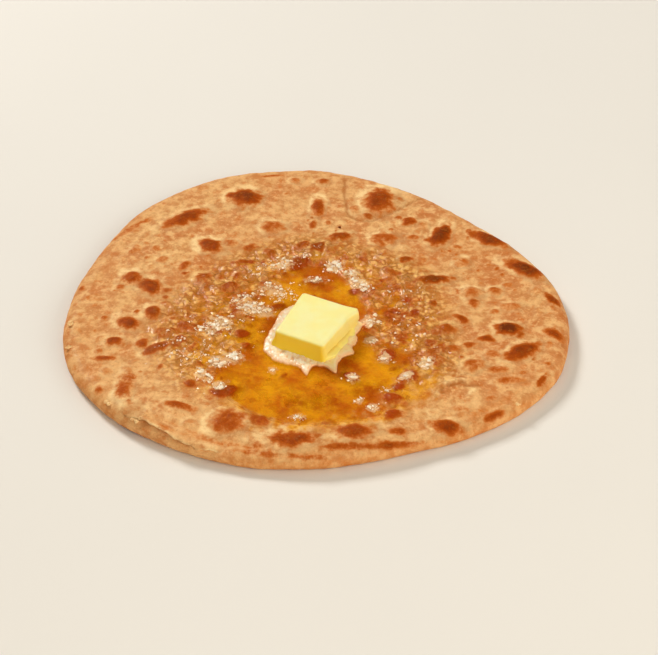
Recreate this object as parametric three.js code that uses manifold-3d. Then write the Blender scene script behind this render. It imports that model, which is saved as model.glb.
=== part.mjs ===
// A stuffed paratha: a thick round flatbread with browned blisters, a torn flake at its rim, a pool of
// melted butter and the pat that it runs from. Millimetres, +Z up, the bread lying flat on z = 0.
import * as THREE from "three";
import { mergeVertices } from "three/addons/utils/BufferGeometryUtils.js";
import Module from "manifold-3d";

const wasm = await Module();
wasm.setup();

const { degToRad, lerp, smoothstep } = THREE.MathUtils;

// The bread
const BREAD_RADIUS = 94.8;
const BREAD_THICKNESS = 7.6;
const CROWN = 0.9;
const EQUATOR = 0.42; // share of the thickness at which the rim reaches furthest out
const SHOULDER = 0.94; // share of the radius at which the top starts to round over
const TORN_SHOULDER = 0.905;
const SOLE = 0.965; // share of the radius that lies flat
const AROUND = 80;
const RINGS = 14;
const SHOULDER_STEPS = 4;
const UNDERSIDE_STEPS = 3;
const SOLE_RINGS = [0.72, 0.4, 0];

// The rim is out of round: waves of so many lobes, so high, with a peak at this heading in degrees
const RIM_WAVES = [
  [1, 3.6, -145],
  [2, 4.7, -14],
  [3, 4.2, -17],
  [4, 0.5, 1],
  [5, 0.6, -18],
  [6, 0.5, 21],
  [13, 0.35, 2],
  [22, 0.35, -7],
];

// The dough is uneven: each swell is shorter and lower than the last, and heads a golden angle further
const SWELLS = 6;
const SWELL_LENGTH = 84;
const SWELL_HEIGHT = 0.3;
const SWELL_FALL = 0.82;
const GOLDEN_ANGLE = 137.5;
const POOLED_SWELL = 0.35; // share of the swells that is left under the pool

// The dip that the butter pools in
const DIP_CENTRE = new THREE.Vector2(-6, -22);
const DIP_RADIUS = 62;
const DIP_DEPTH = 1.25;
const DIP_FLOOR = 0.55; // shares of its radius where its floor ends and where it runs out
const DIP_EDGE = 1.1;

// The torn edge of the top sheet of dough, from one heading to the other
const TORN_FROM = -141;
const TORN_TO = -109;
const TORN_FADE = 6;
const FLAKE_THICKNESS = 0.9;
const FLAKE_ROOT = 0.86; // shares of the rim's radius
const FLAKE_LIP = 0.947;
const FLAKE_STEPS = 36;
const FLAKE_CURL = 0.35;
const FLAKE_RAGS = [[0.006, 0.9], [0.004, 2.3], [0.003, 5.2]]; // share of the radius, turn for each step

// Browned blisters: centre x and y, length, width, heading of the length in degrees, rise
const BLISTERS = [
  [26, 66, 18, 13, 83, 1.3],
  [-31, 68, 13, 11, 0, 1.1],
  [-55, 54, 20, 8, 35, 0.9],
  [-44, 35, 12, 8, -42, 1.4],
  [0, 62, 13, 6, 86, 1.2],
  [-19, 48, 10, 8, 0, 1.2],
  [-36, 37, 6, 5, 0, 0.7],
  [-75, 16, 9, 8, -61, 1.2],
  [-67, 8, 12, 8, -52, 1.0],
  [-46, 13, 8, 7, -74, 1.2],
  [-65, -8, 8, 7, -79, 1.1],
  [-74, -15, 11, 7, -30, 1.0],
  [-79, -25, 8, 5, -5, 0.8],
  [-62, -30, 10, 6, 28, 1.0],
  [-35, 8, 9, 6, 26, 1.0],
  [-8, 23, 11, 7, 48, 1.1],
  [0, 33, 8, 6, 35, 1.1],
  [9, 40, 11, 6, 15, 1.0],
  [27, 39, 11, 8, 13, 1.1],
  [38, 52, 6, 5, 0, 0.8],
  [51, 43, 16, 7, 65, 1.0],
  [47, 12, 15, 6, 8, 1.0],
  [69, 40, 15, 6, -41, 0.9],
  [83, 19, 17, 7, -40, 1.0],
  [62, 4, 8, 7, 0, 1.2],
  [50, -19, 9, 8, 18, 1.4],
  [75, -18, 10, 7, -4, 1.0],
  [80, -31, 14, 8, 28, 1.0],
  [60, -40, 9, 7, 44, 1.1],
  [46, -38, 8, 7, -75, 1.5],
  [48, -74, 11, 7, -3, 1.0],
  [14, -77, 14, 8, 5, 1.1],
  [29, -68, 9, 6, 18, 1.0],
  [-9, -81, 18, 8, -2, 1.1],
  [-33, -71, 14, 11, 22, 1.5],
  [-21, -71, 8, 6, 0, 1.0],
  [-35, -55, 12, 7, 28, 1.4],
  [-73, -54, 11, 7, 77, 1.1],
  [35, -47, 9, 7, 24, 1.7],
  [27, -34, 8, 6, 39, 1.6],
  [13, -46, 8, 6, -26, 1.6],
  [29, -59, 10, 6, -32, 1.5],
  [20, -17, 8, 7, -79, 1.7],
  [-30, -22, 8, 6, 17, 1.6],
];
const BLISTER_BURY = 2; // an oval this many times as deep as it rises
const BLISTER_AROUND = 12;
const BLISTER_RINGS = 6;

// Folds of the dough that show as fine grooves, each through a few points of the plan
const CREASES = [
  [[10, 52], [18, 51.5], [27, 54], [35, 60], [43, 66]],
  [[46, -59], [48, -54], [54, -50], [61, -51.5], [66, -51]],
];
const CREASE_WIDTH = 1.3;
const CREASE_STEPS = 14;

// The pool of melted butter, its shore through these points of the plan
const POOL_LEVEL = 8.05;
const POOL_DEPTH = 1.6;
const POOL_SHORE = [
  [-52, -20], [-40, 6], [-23, 22], [-5, 29], [14, 22], [33, 11],
  [40, -14], [42, -38], [35, -60], [13, -72], [-15, -71], [-31, -60], [-44, -44],
];
const SHORE_STEPS = 64;
const GAP = 0.3; // left between neighbouring solids
const CUTTER_HEIGHT = 20;

// The pat of butter, softened and slumped at its foot
const PAT_CENTRE = new THREE.Vector2(-1.0, -21.9);
const PAT_HEADING = 63.5;
const PAT_LENGTH = 28.2;
const PAT_WIDTH = 23.8;
const PAT_HEIGHT = 9.4;
const PAT_CORNER = 2.2;
const PAT_EDGE = 1.3;
const PAT_SPREAD = 0.06; // how much wider the foot is than the top
const PAT_TAPER = 0.12; // how much wider the far end is than the near end
const PAT_FOOT = 7.15;
const CORNER_STEPS = 3;
const EDGE_STEPS = 2;

// The froth round the pat's foot: how far it reaches past the pat, by heading in degrees
const FROTH_HEIGHT = 1.3;
const FROTH_LEAST = 1.2;
const FROTH_LOBES = [
  [-176, 5.8, 30],
  [-150, 4.2, 22],
  [-128, 6.4, 18],
  [-112, 4.6, 16],
  [-97, 7.6, 5],
  [-68, 6.4, 10],
  [-38, 5.0, 20],
  [-8, 3.2, 14],
  [136, 6.4, 24],
  [160, 5.6, 18],
];
const FROTH_STEPS = 60;

const CRUST = new THREE.MeshStandardMaterial({ color: 0xcf9a5e, roughness: 0.62, metalness: 0 });
const BUTTER = new THREE.MeshStandardMaterial({ color: 0xfbe98c, roughness: 0.35, metalness: 0 });
const GHEE = new THREE.MeshStandardMaterial({ color: 0xc9861a, roughness: 0.08, metalness: 0 });
const FROTH = new THREE.MeshStandardMaterial({ color: 0xf3dcb8, roughness: 0.5, metalness: 0 });

// A closed geometry as a solid: only its positions count, and triangles with no area are dropped.
function solidOf(geometry) {
  const bare = geometry.clone();
  bare.deleteAttribute("normal");
  bare.deleteAttribute("uv");
  const merged = mergeVertices(bare, 1e-4);
  const corners = merged.index.array;
  const kept = [];
  for (let i = 0; i < corners.length; i += 3) {
    const [a, b, c] = corners.subarray(i, i + 3);
    if (a !== b && b !== c && c !== a) kept.push(a, b, c);
  }
  return new wasm.Manifold(
    new wasm.Mesh({
      numProp: 3,
      vertProperties: merged.attributes.position.array,
      triVerts: new Uint32Array(kept),
    }),
  );
}

function meshOf(name, solid, material) {
  const { numProp, numVert, vertProperties, triVerts } = solid.getMesh();
  const places = new Float32Array(numVert * 3);
  for (let i = 0; i < numVert; i++) {
    places.set(vertProperties.subarray(i * numProp, i * numProp + 3), i * 3);
  }
  const geometry = new THREE.BufferGeometry();
  geometry.setAttribute("position", new THREE.BufferAttribute(places, 3));
  geometry.setIndex(new THREE.BufferAttribute(triVerts, 1));
  geometry.computeVertexNormals();
  const mesh = new THREE.Mesh(geometry, material);
  mesh.name = name;
  return mesh;
}

// Moves every vertex of a geometry to where the rule puts it.
function reshape(geometry, rule) {
  const place = geometry.attributes.position;
  const point = new THREE.Vector3();
  for (let i = 0; i < place.count; i++) {
    rule(point.fromBufferAttribute(place, i));
    place.setXYZ(i, point.x, point.y, point.z);
  }
  return geometry;
}

const biggestOf = (solid) =>
  solid.decompose().reduce((most, piece) => (piece.volume() > most.volume() ? piece : most));

function rimRadius(heading) {
  return RIM_WAVES.reduce(
    (radius, [lobes, height, peak]) => radius + height * Math.cos(lobes * (heading - degToRad(peak))),
    BREAD_RADIUS,
  );
}

// How far a point lies inside the torn stretch of the rim: 0 outside it, 1 well inside.
function tornShare(heading) {
  const degrees = THREE.MathUtils.radToDeg(heading);
  const begun = smoothstep(degrees, TORN_FROM, TORN_FROM + TORN_FADE);
  return begun * (1 - smoothstep(degrees, TORN_TO - TORN_FADE, TORN_TO));
}

function swell(x, y) {
  let height = 0;
  for (let i = 0; i < SWELLS; i++) {
    const heading = degToRad(GOLDEN_ANGLE * i);
    const along = x * Math.cos(heading) + y * Math.sin(heading);
    height += Math.sin((2 * Math.PI * along) / (SWELL_LENGTH * SWELL_FALL ** i) + i) * SWELL_FALL ** i;
  }
  return SWELL_HEIGHT * height;
}

// The height of the smooth top at a point of the plan, before blisters and creases.
function topHeight(x, y) {
  const share = Math.min(1, Math.hypot(x, y) / rimRadius(Math.atan2(y, x)));
  const inDip = Math.hypot(x - DIP_CENTRE.x, y - DIP_CENTRE.y) / DIP_RADIUS;
  const outOfDip = smoothstep(inDip, DIP_FLOOR, DIP_EDGE);
  const dip = DIP_DEPTH * (1 - outOfDip);
  const calm = lerp(POOLED_SWELL, 1, outOfDip);
  return BREAD_THICKNESS + CROWN * (1 - share * share) - dip + swell(x, y) * calm;
}

// Half of the bread's section, as shares of its radius and of its height, from the top's middle round
// the rim to the sole's middle.
function breadSection() {
  const section = [];
  for (let i = 0; i < RINGS; i++) section.push(new THREE.Vector2((SHOULDER * i) / RINGS, 1));
  for (let i = 0; i <= SHOULDER_STEPS; i++) {
    const turn = (Math.PI / 2) * (i / SHOULDER_STEPS);
    const out = lerp(SHOULDER, 1, Math.sin(turn));
    section.push(new THREE.Vector2(out, lerp(EQUATOR, 1, Math.cos(turn))));
  }
  for (let i = 1; i <= UNDERSIDE_STEPS; i++) {
    const turn = (Math.PI / 2) * (i / UNDERSIDE_STEPS);
    section.push(new THREE.Vector2(lerp(SOLE, 1, Math.cos(turn)), EQUATOR * (1 - Math.sin(turn))));
  }
  for (const share of SOLE_RINGS) section.push(new THREE.Vector2(share, 0));
  return section;
}

function breadBody() {
  const turned = new THREE.LatheGeometry(breadSection().reverse(), AROUND).rotateX(Math.PI / 2);
  return solidOf(
    reshape(turned, (point) => {
      const heading = Math.atan2(point.y, point.x);
      const share = Math.hypot(point.x, point.y);
      const isTop = point.z > 0;
      const pulledIn = isTop ? (SHOULDER - TORN_SHOULDER) * tornShare(heading) : 0;
      const fromMiddle = smoothstep(share, FLAKE_ROOT, SHOULDER);
      const moved = share - pulledIn * fromMiddle * (1 - smoothstep(share, SHOULDER, 1));
      const radius = moved * rimRadius(heading);
      point.x = radius * Math.cos(heading);
      point.y = radius * Math.sin(heading);
      point.z *= topHeight(point.x, point.y);
    }),
  );
}

function blister([x, y, length, width, heading, rise]) {
  const spread = 1 / Math.sqrt(1 - (1 - 1 / BLISTER_BURY) ** 2);
  const oval = new THREE.SphereGeometry(1, BLISTER_AROUND, BLISTER_RINGS)
    .rotateX(Math.PI / 2)
    .scale((spread * length) / 2, (spread * width) / 2, BLISTER_BURY * rise)
    .rotateZ(degToRad(heading))
    .translate(x, y, topHeight(x, y) + rise - BLISTER_BURY * rise);
  return solidOf(oval);
}

function crease(route) {
  const points = route.map(([x, y]) => new THREE.Vector3(x, y, topHeight(x, y)));
  const half = CREASE_WIDTH / 2;
  const section = new THREE.Shape([
    new THREE.Vector2(half, 0),
    new THREE.Vector2(0, half),
    new THREE.Vector2(-half, 0),
    new THREE.Vector2(0, -half),
  ]);
  const groove = new THREE.ExtrudeGeometry(section, {
    steps: CREASE_STEPS,
    extrudePath: new THREE.CatmullRomCurve3(points),
  });
  return solidOf(groove);
}

// The top sheet of dough where it has torn along the rim: a thin shelf with a ragged edge.
function flake() {
  const outer = [];
  const inner = [];
  for (let i = 0; i <= FLAKE_STEPS; i++) {
    const heading = degToRad(lerp(TORN_FROM, TORN_TO, i / FLAKE_STEPS));
    const rags = FLAKE_RAGS.map(([reach, turn]) => reach * Math.sin(turn * i));
    const lip = rags.reduce((share, rag) => share + rag, FLAKE_LIP) * rimRadius(heading);
    const root = FLAKE_ROOT * rimRadius(heading);
    outer.push(new THREE.Vector2(lip * Math.cos(heading), lip * Math.sin(heading)));
    inner.unshift(new THREE.Vector2(root * Math.cos(heading), root * Math.sin(heading)));
  }
  const sheet = new THREE.ExtrudeGeometry(new THREE.Shape([...outer, ...inner]), {
    depth: FLAKE_THICKNESS,
    bevelEnabled: false,
  });
  return solidOf(
    reshape(sheet, (point) => {
      const share = Math.hypot(point.x, point.y) / rimRadius(Math.atan2(point.y, point.x));
      const curl = FLAKE_CURL * smoothstep(share, FLAKE_ROOT, FLAKE_LIP);
      point.z += topHeight(point.x, point.y) - FLAKE_THICKNESS + curl;
    }),
  );
}

function patOutline(grow) {
  const x = PAT_LENGTH / 2 + grow;
  const y = PAT_WIDTH / 2 + grow;
  const corner = PAT_CORNER + grow;
  const outline = new THREE.Shape();
  outline.moveTo(x - corner, -y);
  outline.absarc(x - corner, -y + corner, corner, -Math.PI / 2, 0);
  outline.absarc(x - corner, y - corner, corner, 0, Math.PI / 2);
  outline.absarc(-x + corner, y - corner, corner, Math.PI / 2, Math.PI);
  outline.absarc(-x + corner, -y + corner, corner, Math.PI, 1.5 * Math.PI);
  outline.closePath();
  return outline;
}

const tapered = (point) => point.setY(point.y * (1 + (PAT_TAPER * point.x) / PAT_LENGTH));

const toPat = (geometry) =>
  reshape(geometry, tapered).rotateZ(degToRad(PAT_HEADING)).translate(PAT_CENTRE.x, PAT_CENTRE.y, 0);

// The pat's block from its foot up, its edges rounded and its sides leaning in.
function patBlock() {
  const block = new THREE.ExtrudeGeometry(patOutline(-PAT_EDGE), {
    depth: PAT_HEIGHT - 2 * PAT_EDGE,
    bevelSize: PAT_EDGE,
    bevelThickness: PAT_EDGE,
    bevelSegments: EDGE_STEPS,
    curveSegments: CORNER_STEPS,
  }).translate(0, 0, PAT_EDGE);
  reshape(block, (point) => {
    const lean = 1 - PAT_SPREAD * (point.z / PAT_HEIGHT);
    point.x *= lean;
    point.y *= lean;
    point.z += PAT_FOOT;
  });
  return solidOf(toPat(block));
}

const patColumn = (grow) =>
  solidOf(
    toPat(
      new THREE.ExtrudeGeometry(patOutline(grow), {
        depth: CUTTER_HEIGHT,
        bevelEnabled: false,
        curveSegments: CORNER_STEPS,
      }),
    ),
  );

// How far the froth reaches past the pat at a heading: a thin band with a lobe at each of its runs.
function frothReach(heading) {
  return FROTH_LOBES.reduce((most, [peak, reach, spread]) => {
    const off = Math.abs(((heading - peak + 540) % 360) - 180) / spread;
    return Math.max(most, reach * Math.exp(-off * off));
  }, FROTH_LEAST);
}

// The froth's outline: the pat's own, pushed out by the reach.
function frothColumn(grow, height) {
  const shore = [];
  const along = patOutline(0).getSpacedPoints(FROTH_STEPS).slice(0, -1);
  const turn = degToRad(PAT_HEADING);
  for (const point of along) {
    const place = tapered(point).rotateAround(new THREE.Vector2(), turn);
    const heading = THREE.MathUtils.radToDeg(place.angle());
    const out = place.clone().normalize().multiplyScalar(frothReach(heading) + grow);
    shore.push(place.add(out).add(PAT_CENTRE));
  }
  const column = new THREE.ExtrudeGeometry(new THREE.Shape(shore), { depth: height, bevelEnabled: false });
  return solidOf(column);
}

function pool() {
  const shore = new THREE.Shape();
  const curve = new THREE.CatmullRomCurve3(
    POOL_SHORE.map(([x, y]) => new THREE.Vector3(x, y, 0)),
    true,
  );
  shore.setFromPoints(curve.getPoints(SHORE_STEPS).slice(0, -1));
  const slab = new THREE.ExtrudeGeometry(shore, { depth: POOL_DEPTH, bevelEnabled: false });
  return solidOf(slab.translate(0, 0, POOL_LEVEL - POOL_DEPTH));
}

let bread = breadBody();
for (const row of BLISTERS) bread = bread.add(blister(row));
bread = bread.add(flake());
for (const route of CREASES) bread = bread.subtract(crease(route));
const cleared = bread.translate([0, 0, GAP]);

const pat = patBlock().subtract(cleared);
const froth = frothColumn(0, POOL_LEVEL + FROTH_HEIGHT).subtract(patColumn(GAP)).subtract(cleared);
const melted = pool().subtract(frothColumn(GAP, CUTTER_HEIGHT)).subtract(cleared);

const paratha = new THREE.Group();
paratha.add(
  meshOf("paratha", biggestOf(bread), CRUST),
  meshOf("butter_pat", biggestOf(pat), BUTTER),
  meshOf("melted_butter", biggestOf(melted), GHEE),
  meshOf("butter_froth", biggestOf(froth), FROTH),
);

// The origin is the middle of the bread's box, on the surface that it lies on.
const middle = new THREE.Box3().setFromObject(paratha).getCenter(new THREE.Vector3());
paratha.position.set(-middle.x, -middle.y, 0);

export default paratha;
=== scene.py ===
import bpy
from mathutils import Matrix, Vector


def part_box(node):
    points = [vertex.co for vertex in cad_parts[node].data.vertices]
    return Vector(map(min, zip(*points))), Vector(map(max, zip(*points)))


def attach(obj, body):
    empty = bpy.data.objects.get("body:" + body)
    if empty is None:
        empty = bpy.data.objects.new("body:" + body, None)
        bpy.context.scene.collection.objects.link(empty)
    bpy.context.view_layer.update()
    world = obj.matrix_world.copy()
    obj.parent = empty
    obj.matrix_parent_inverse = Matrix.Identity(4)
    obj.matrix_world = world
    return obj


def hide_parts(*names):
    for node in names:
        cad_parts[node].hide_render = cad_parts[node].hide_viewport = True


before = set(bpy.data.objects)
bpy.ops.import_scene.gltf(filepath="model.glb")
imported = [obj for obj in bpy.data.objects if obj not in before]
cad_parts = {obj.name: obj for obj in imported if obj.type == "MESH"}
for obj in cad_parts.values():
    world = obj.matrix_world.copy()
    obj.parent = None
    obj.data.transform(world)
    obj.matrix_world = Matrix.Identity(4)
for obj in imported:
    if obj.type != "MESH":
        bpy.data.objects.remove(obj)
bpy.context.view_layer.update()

# %% [markdown]
# # A stuffed paratha with melting butter
# The bread is a disc of soft dough, rolled by hand round a filling and browned on a hot griddle. The
# dough blisters where steam lifts it, and each blister browns where it touches the metal. A pat of
# butter melts on it, and the butter runs into a shallow dip and froths round the pat's foot.
# Sizes below are millimetres in plan, x to the right and y away from the viewer, and each mesh is
# turned into metres when it is finished.
#
# ## Tools
# Dough could be sculpted with a brush, but then nothing could be measured or changed by a number. Here
# bmesh makes the meshes, numpy moves all of a mesh's points at once, and mathutils gives the noise that
# keeps dough from looking machined. Every random number comes from one seeded generator, and Blender's
# noise is seeded too, because its vector noise starts from the clock. So the bread is the same each time.

# %% The modules and small helpers
import math
from types import SimpleNamespace

import bmesh
import bpy
import numpy as np
from mathutils import Matrix, Vector, noise

MM = 0.001
SEED = 7
draw = np.random.default_rng(SEED)
noise.seed_set(SEED)


def ramp(value, low, high):
    """A soft step from 0 at low to 1 at high."""
    share = np.clip((value - low) / (high - low), 0, 1)
    return share * share * (3 - 2 * share)


def grain(x, y, size, seed):
    """Smooth noise between -1 and 1, whose lumps are about size across."""
    return np.array([noise.noise((a / size, b / size, seed)) for a, b in zip(x, y)])


def turned(x, y, degrees):
    """How far each place lies along a heading, and how far across it."""
    turn = math.radians(degrees)
    return x * math.cos(turn) + y * math.sin(turn), y * math.cos(turn) - x * math.sin(turn)


def between(low, high, count):
    return draw.uniform(low, high, count)


print("a quarter of the way along, a soft step has risen to", ramp(0.25, 0, 1))

# %% [markdown]
# ## The bread's outline
# A hand-rolled disc is never round. One way to get its outline would be a traced curve, but a circle
# with a few slow waves says the same in a few numbers, and the rim can be asked about at any heading.

# %% The outline
BREAD_RADIUS = 94.8
# Lobes round the rim, height, and the heading of one crest in degrees
RIM_WAVES = [
    (1, 3.6, -145),
    (2, 4.7, -14),
    (3, 4.2, -17),
    (4, 0.5, 1),
    (5, 0.6, -18),
    (6, 0.5, 21),
    (13, 0.15, 2),
    (22, 0.1, -7),
]


def rim_radius(heading):
    waves = [height * np.cos(lobes * (heading - math.radians(peak))) for lobes, height, peak in RIM_WAVES]
    return BREAD_RADIUS + sum(waves)


turns = np.linspace(-math.pi, math.pi, 721)
print("the rim's radius runs from", rim_radius(turns).min().round(1), "to", rim_radius(turns).max().round(1))

# %% [markdown]
# ## The smooth top
# The top is nearly flat. It crowns a little, because the filling heaps up in the middle, and has a dip
# where the butter pools. Rolling leaves it gently uneven: a sum of a few long waves does that, each one
# shorter than the last and turned by the golden angle, so that they never line up into stripes.

# %% The smooth top
BREAD_THICKNESS = 7.6
CROWN = 0.9
SWELLS = 6
SWELL_LENGTH = 84
SWELL_HEIGHT = 0.3
SWELL_FALL = 0.82
GOLDEN_ANGLE = 137.5
POOLED_SWELL = 0.35
DIP_CENTRE = (-6, -22)
DIP_RADIUS = 62
DIP_DEPTH = 1.25
DIP_FLOOR = 0.55
DIP_EDGE = 1.1


def swell(x, y):
    height = np.zeros_like(x)
    for i in range(SWELLS):
        along = turned(x, y, GOLDEN_ANGLE * i)[0]
        fall = SWELL_FALL**i
        height += np.sin(2 * math.pi * along / (SWELL_LENGTH * fall) + i) * fall
    return SWELL_HEIGHT * height


def smooth_top(x, y):
    share = np.minimum(1, np.hypot(x, y) / rim_radius(np.arctan2(y, x)))
    in_dip = np.hypot(x - DIP_CENTRE[0], y - DIP_CENTRE[1]) / DIP_RADIUS
    out_of_dip = ramp(in_dip, DIP_FLOOR, DIP_EDGE)
    calm = POOLED_SWELL + (1 - POOLED_SWELL) * out_of_dip
    return BREAD_THICKNESS + CROWN * (1 - share**2) - DIP_DEPTH * (1 - out_of_dip) + swell(x, y) * calm


dip_bottom = smooth_top(*np.array(DIP_CENTRE, float).reshape(2, 1))[0]
print("in the middle of the dip the dough is", dip_bottom.round(2), "mm thick")

# %% [markdown]
# ## Where the butter lies
# The pool has a shore, and past it the dough is soaked for a finger's width. Both are worked out from
# one closed curve through a few points, so that relief, stains and froth all agree. A Bezier curve could
# carry it too, but a list of short chords is simpler to measure from.

# %% The pool's shore
POOL_LEVEL = 8.05
POOL_SHORE = [
    (-52, -20), (-40, 6), (-23, 22), (-5, 29), (14, 22), (33, 11),
    (40, -14), (42, -38), (35, -60), (13, -72), (-15, -71), (-31, -60), (-44, -44),
]
SHORE_STEPS = 8


def closed_curve(points, steps):
    """A smooth closed curve through the points, as steps short chords for each of them."""
    curve = []
    for i in range(len(points)):
        a, b, c, d = (np.array(points[(i + k) % len(points)], float) for k in (-1, 0, 1, 2))
        for t in np.arange(steps) / steps:
            bend = 2 * a - 5 * b + 4 * c - d
            twist = 3 * b - a - 3 * c + d
            curve.append(0.5 * (2 * b + (c - a) * t + bend * t**2 + twist * t**3))
    return np.array(curve)


shore = closed_curve(POOL_SHORE, SHORE_STEPS)
print("the shore has", len(shore), "chords")

# %% [markdown]
# ### The distance to the shore
# A point's distance to the shore is its distance to the nearest chord. To know whether it is inside, a
# line is drawn from it to one side: inside the pool, the line crosses the shore an odd number of times.

# %% The distance to the shore
def to_stretch(x, y, start, end):
    """The distance from each point to a straight stretch."""
    (ax, ay), (bx, by) = start, end
    squared = (bx - ax) ** 2 + (by - ay) ** 2
    along = np.clip(((x - ax) * (bx - ax) + (y - ay) * (by - ay)) / squared, 0, 1)
    return np.hypot(x - ax - along * (bx - ax), y - ay - along * (by - ay))


def past_shore(x, y):
    """The distance outside the shore, negative inside it."""
    nearest = np.full(x.shape, np.inf)
    inside = np.zeros(x.shape, bool)
    for (ax, ay), (bx, by) in zip(shore, np.roll(shore, -1, axis=0)):
        nearest = np.minimum(nearest, to_stretch(x, y, (ax, ay), (bx, by)))
        crosses = (ay > y) != (by > y)
        rise = by - ay if by != ay else 1
        inside ^= crosses & (x < ax + (y - ay) * (bx - ax) / rise)
    return np.where(inside, -nearest, nearest)


print("the bread's middle is", -past_shore(np.zeros(1), np.zeros(1))[0].round(1), "mm inside the shore")
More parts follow.
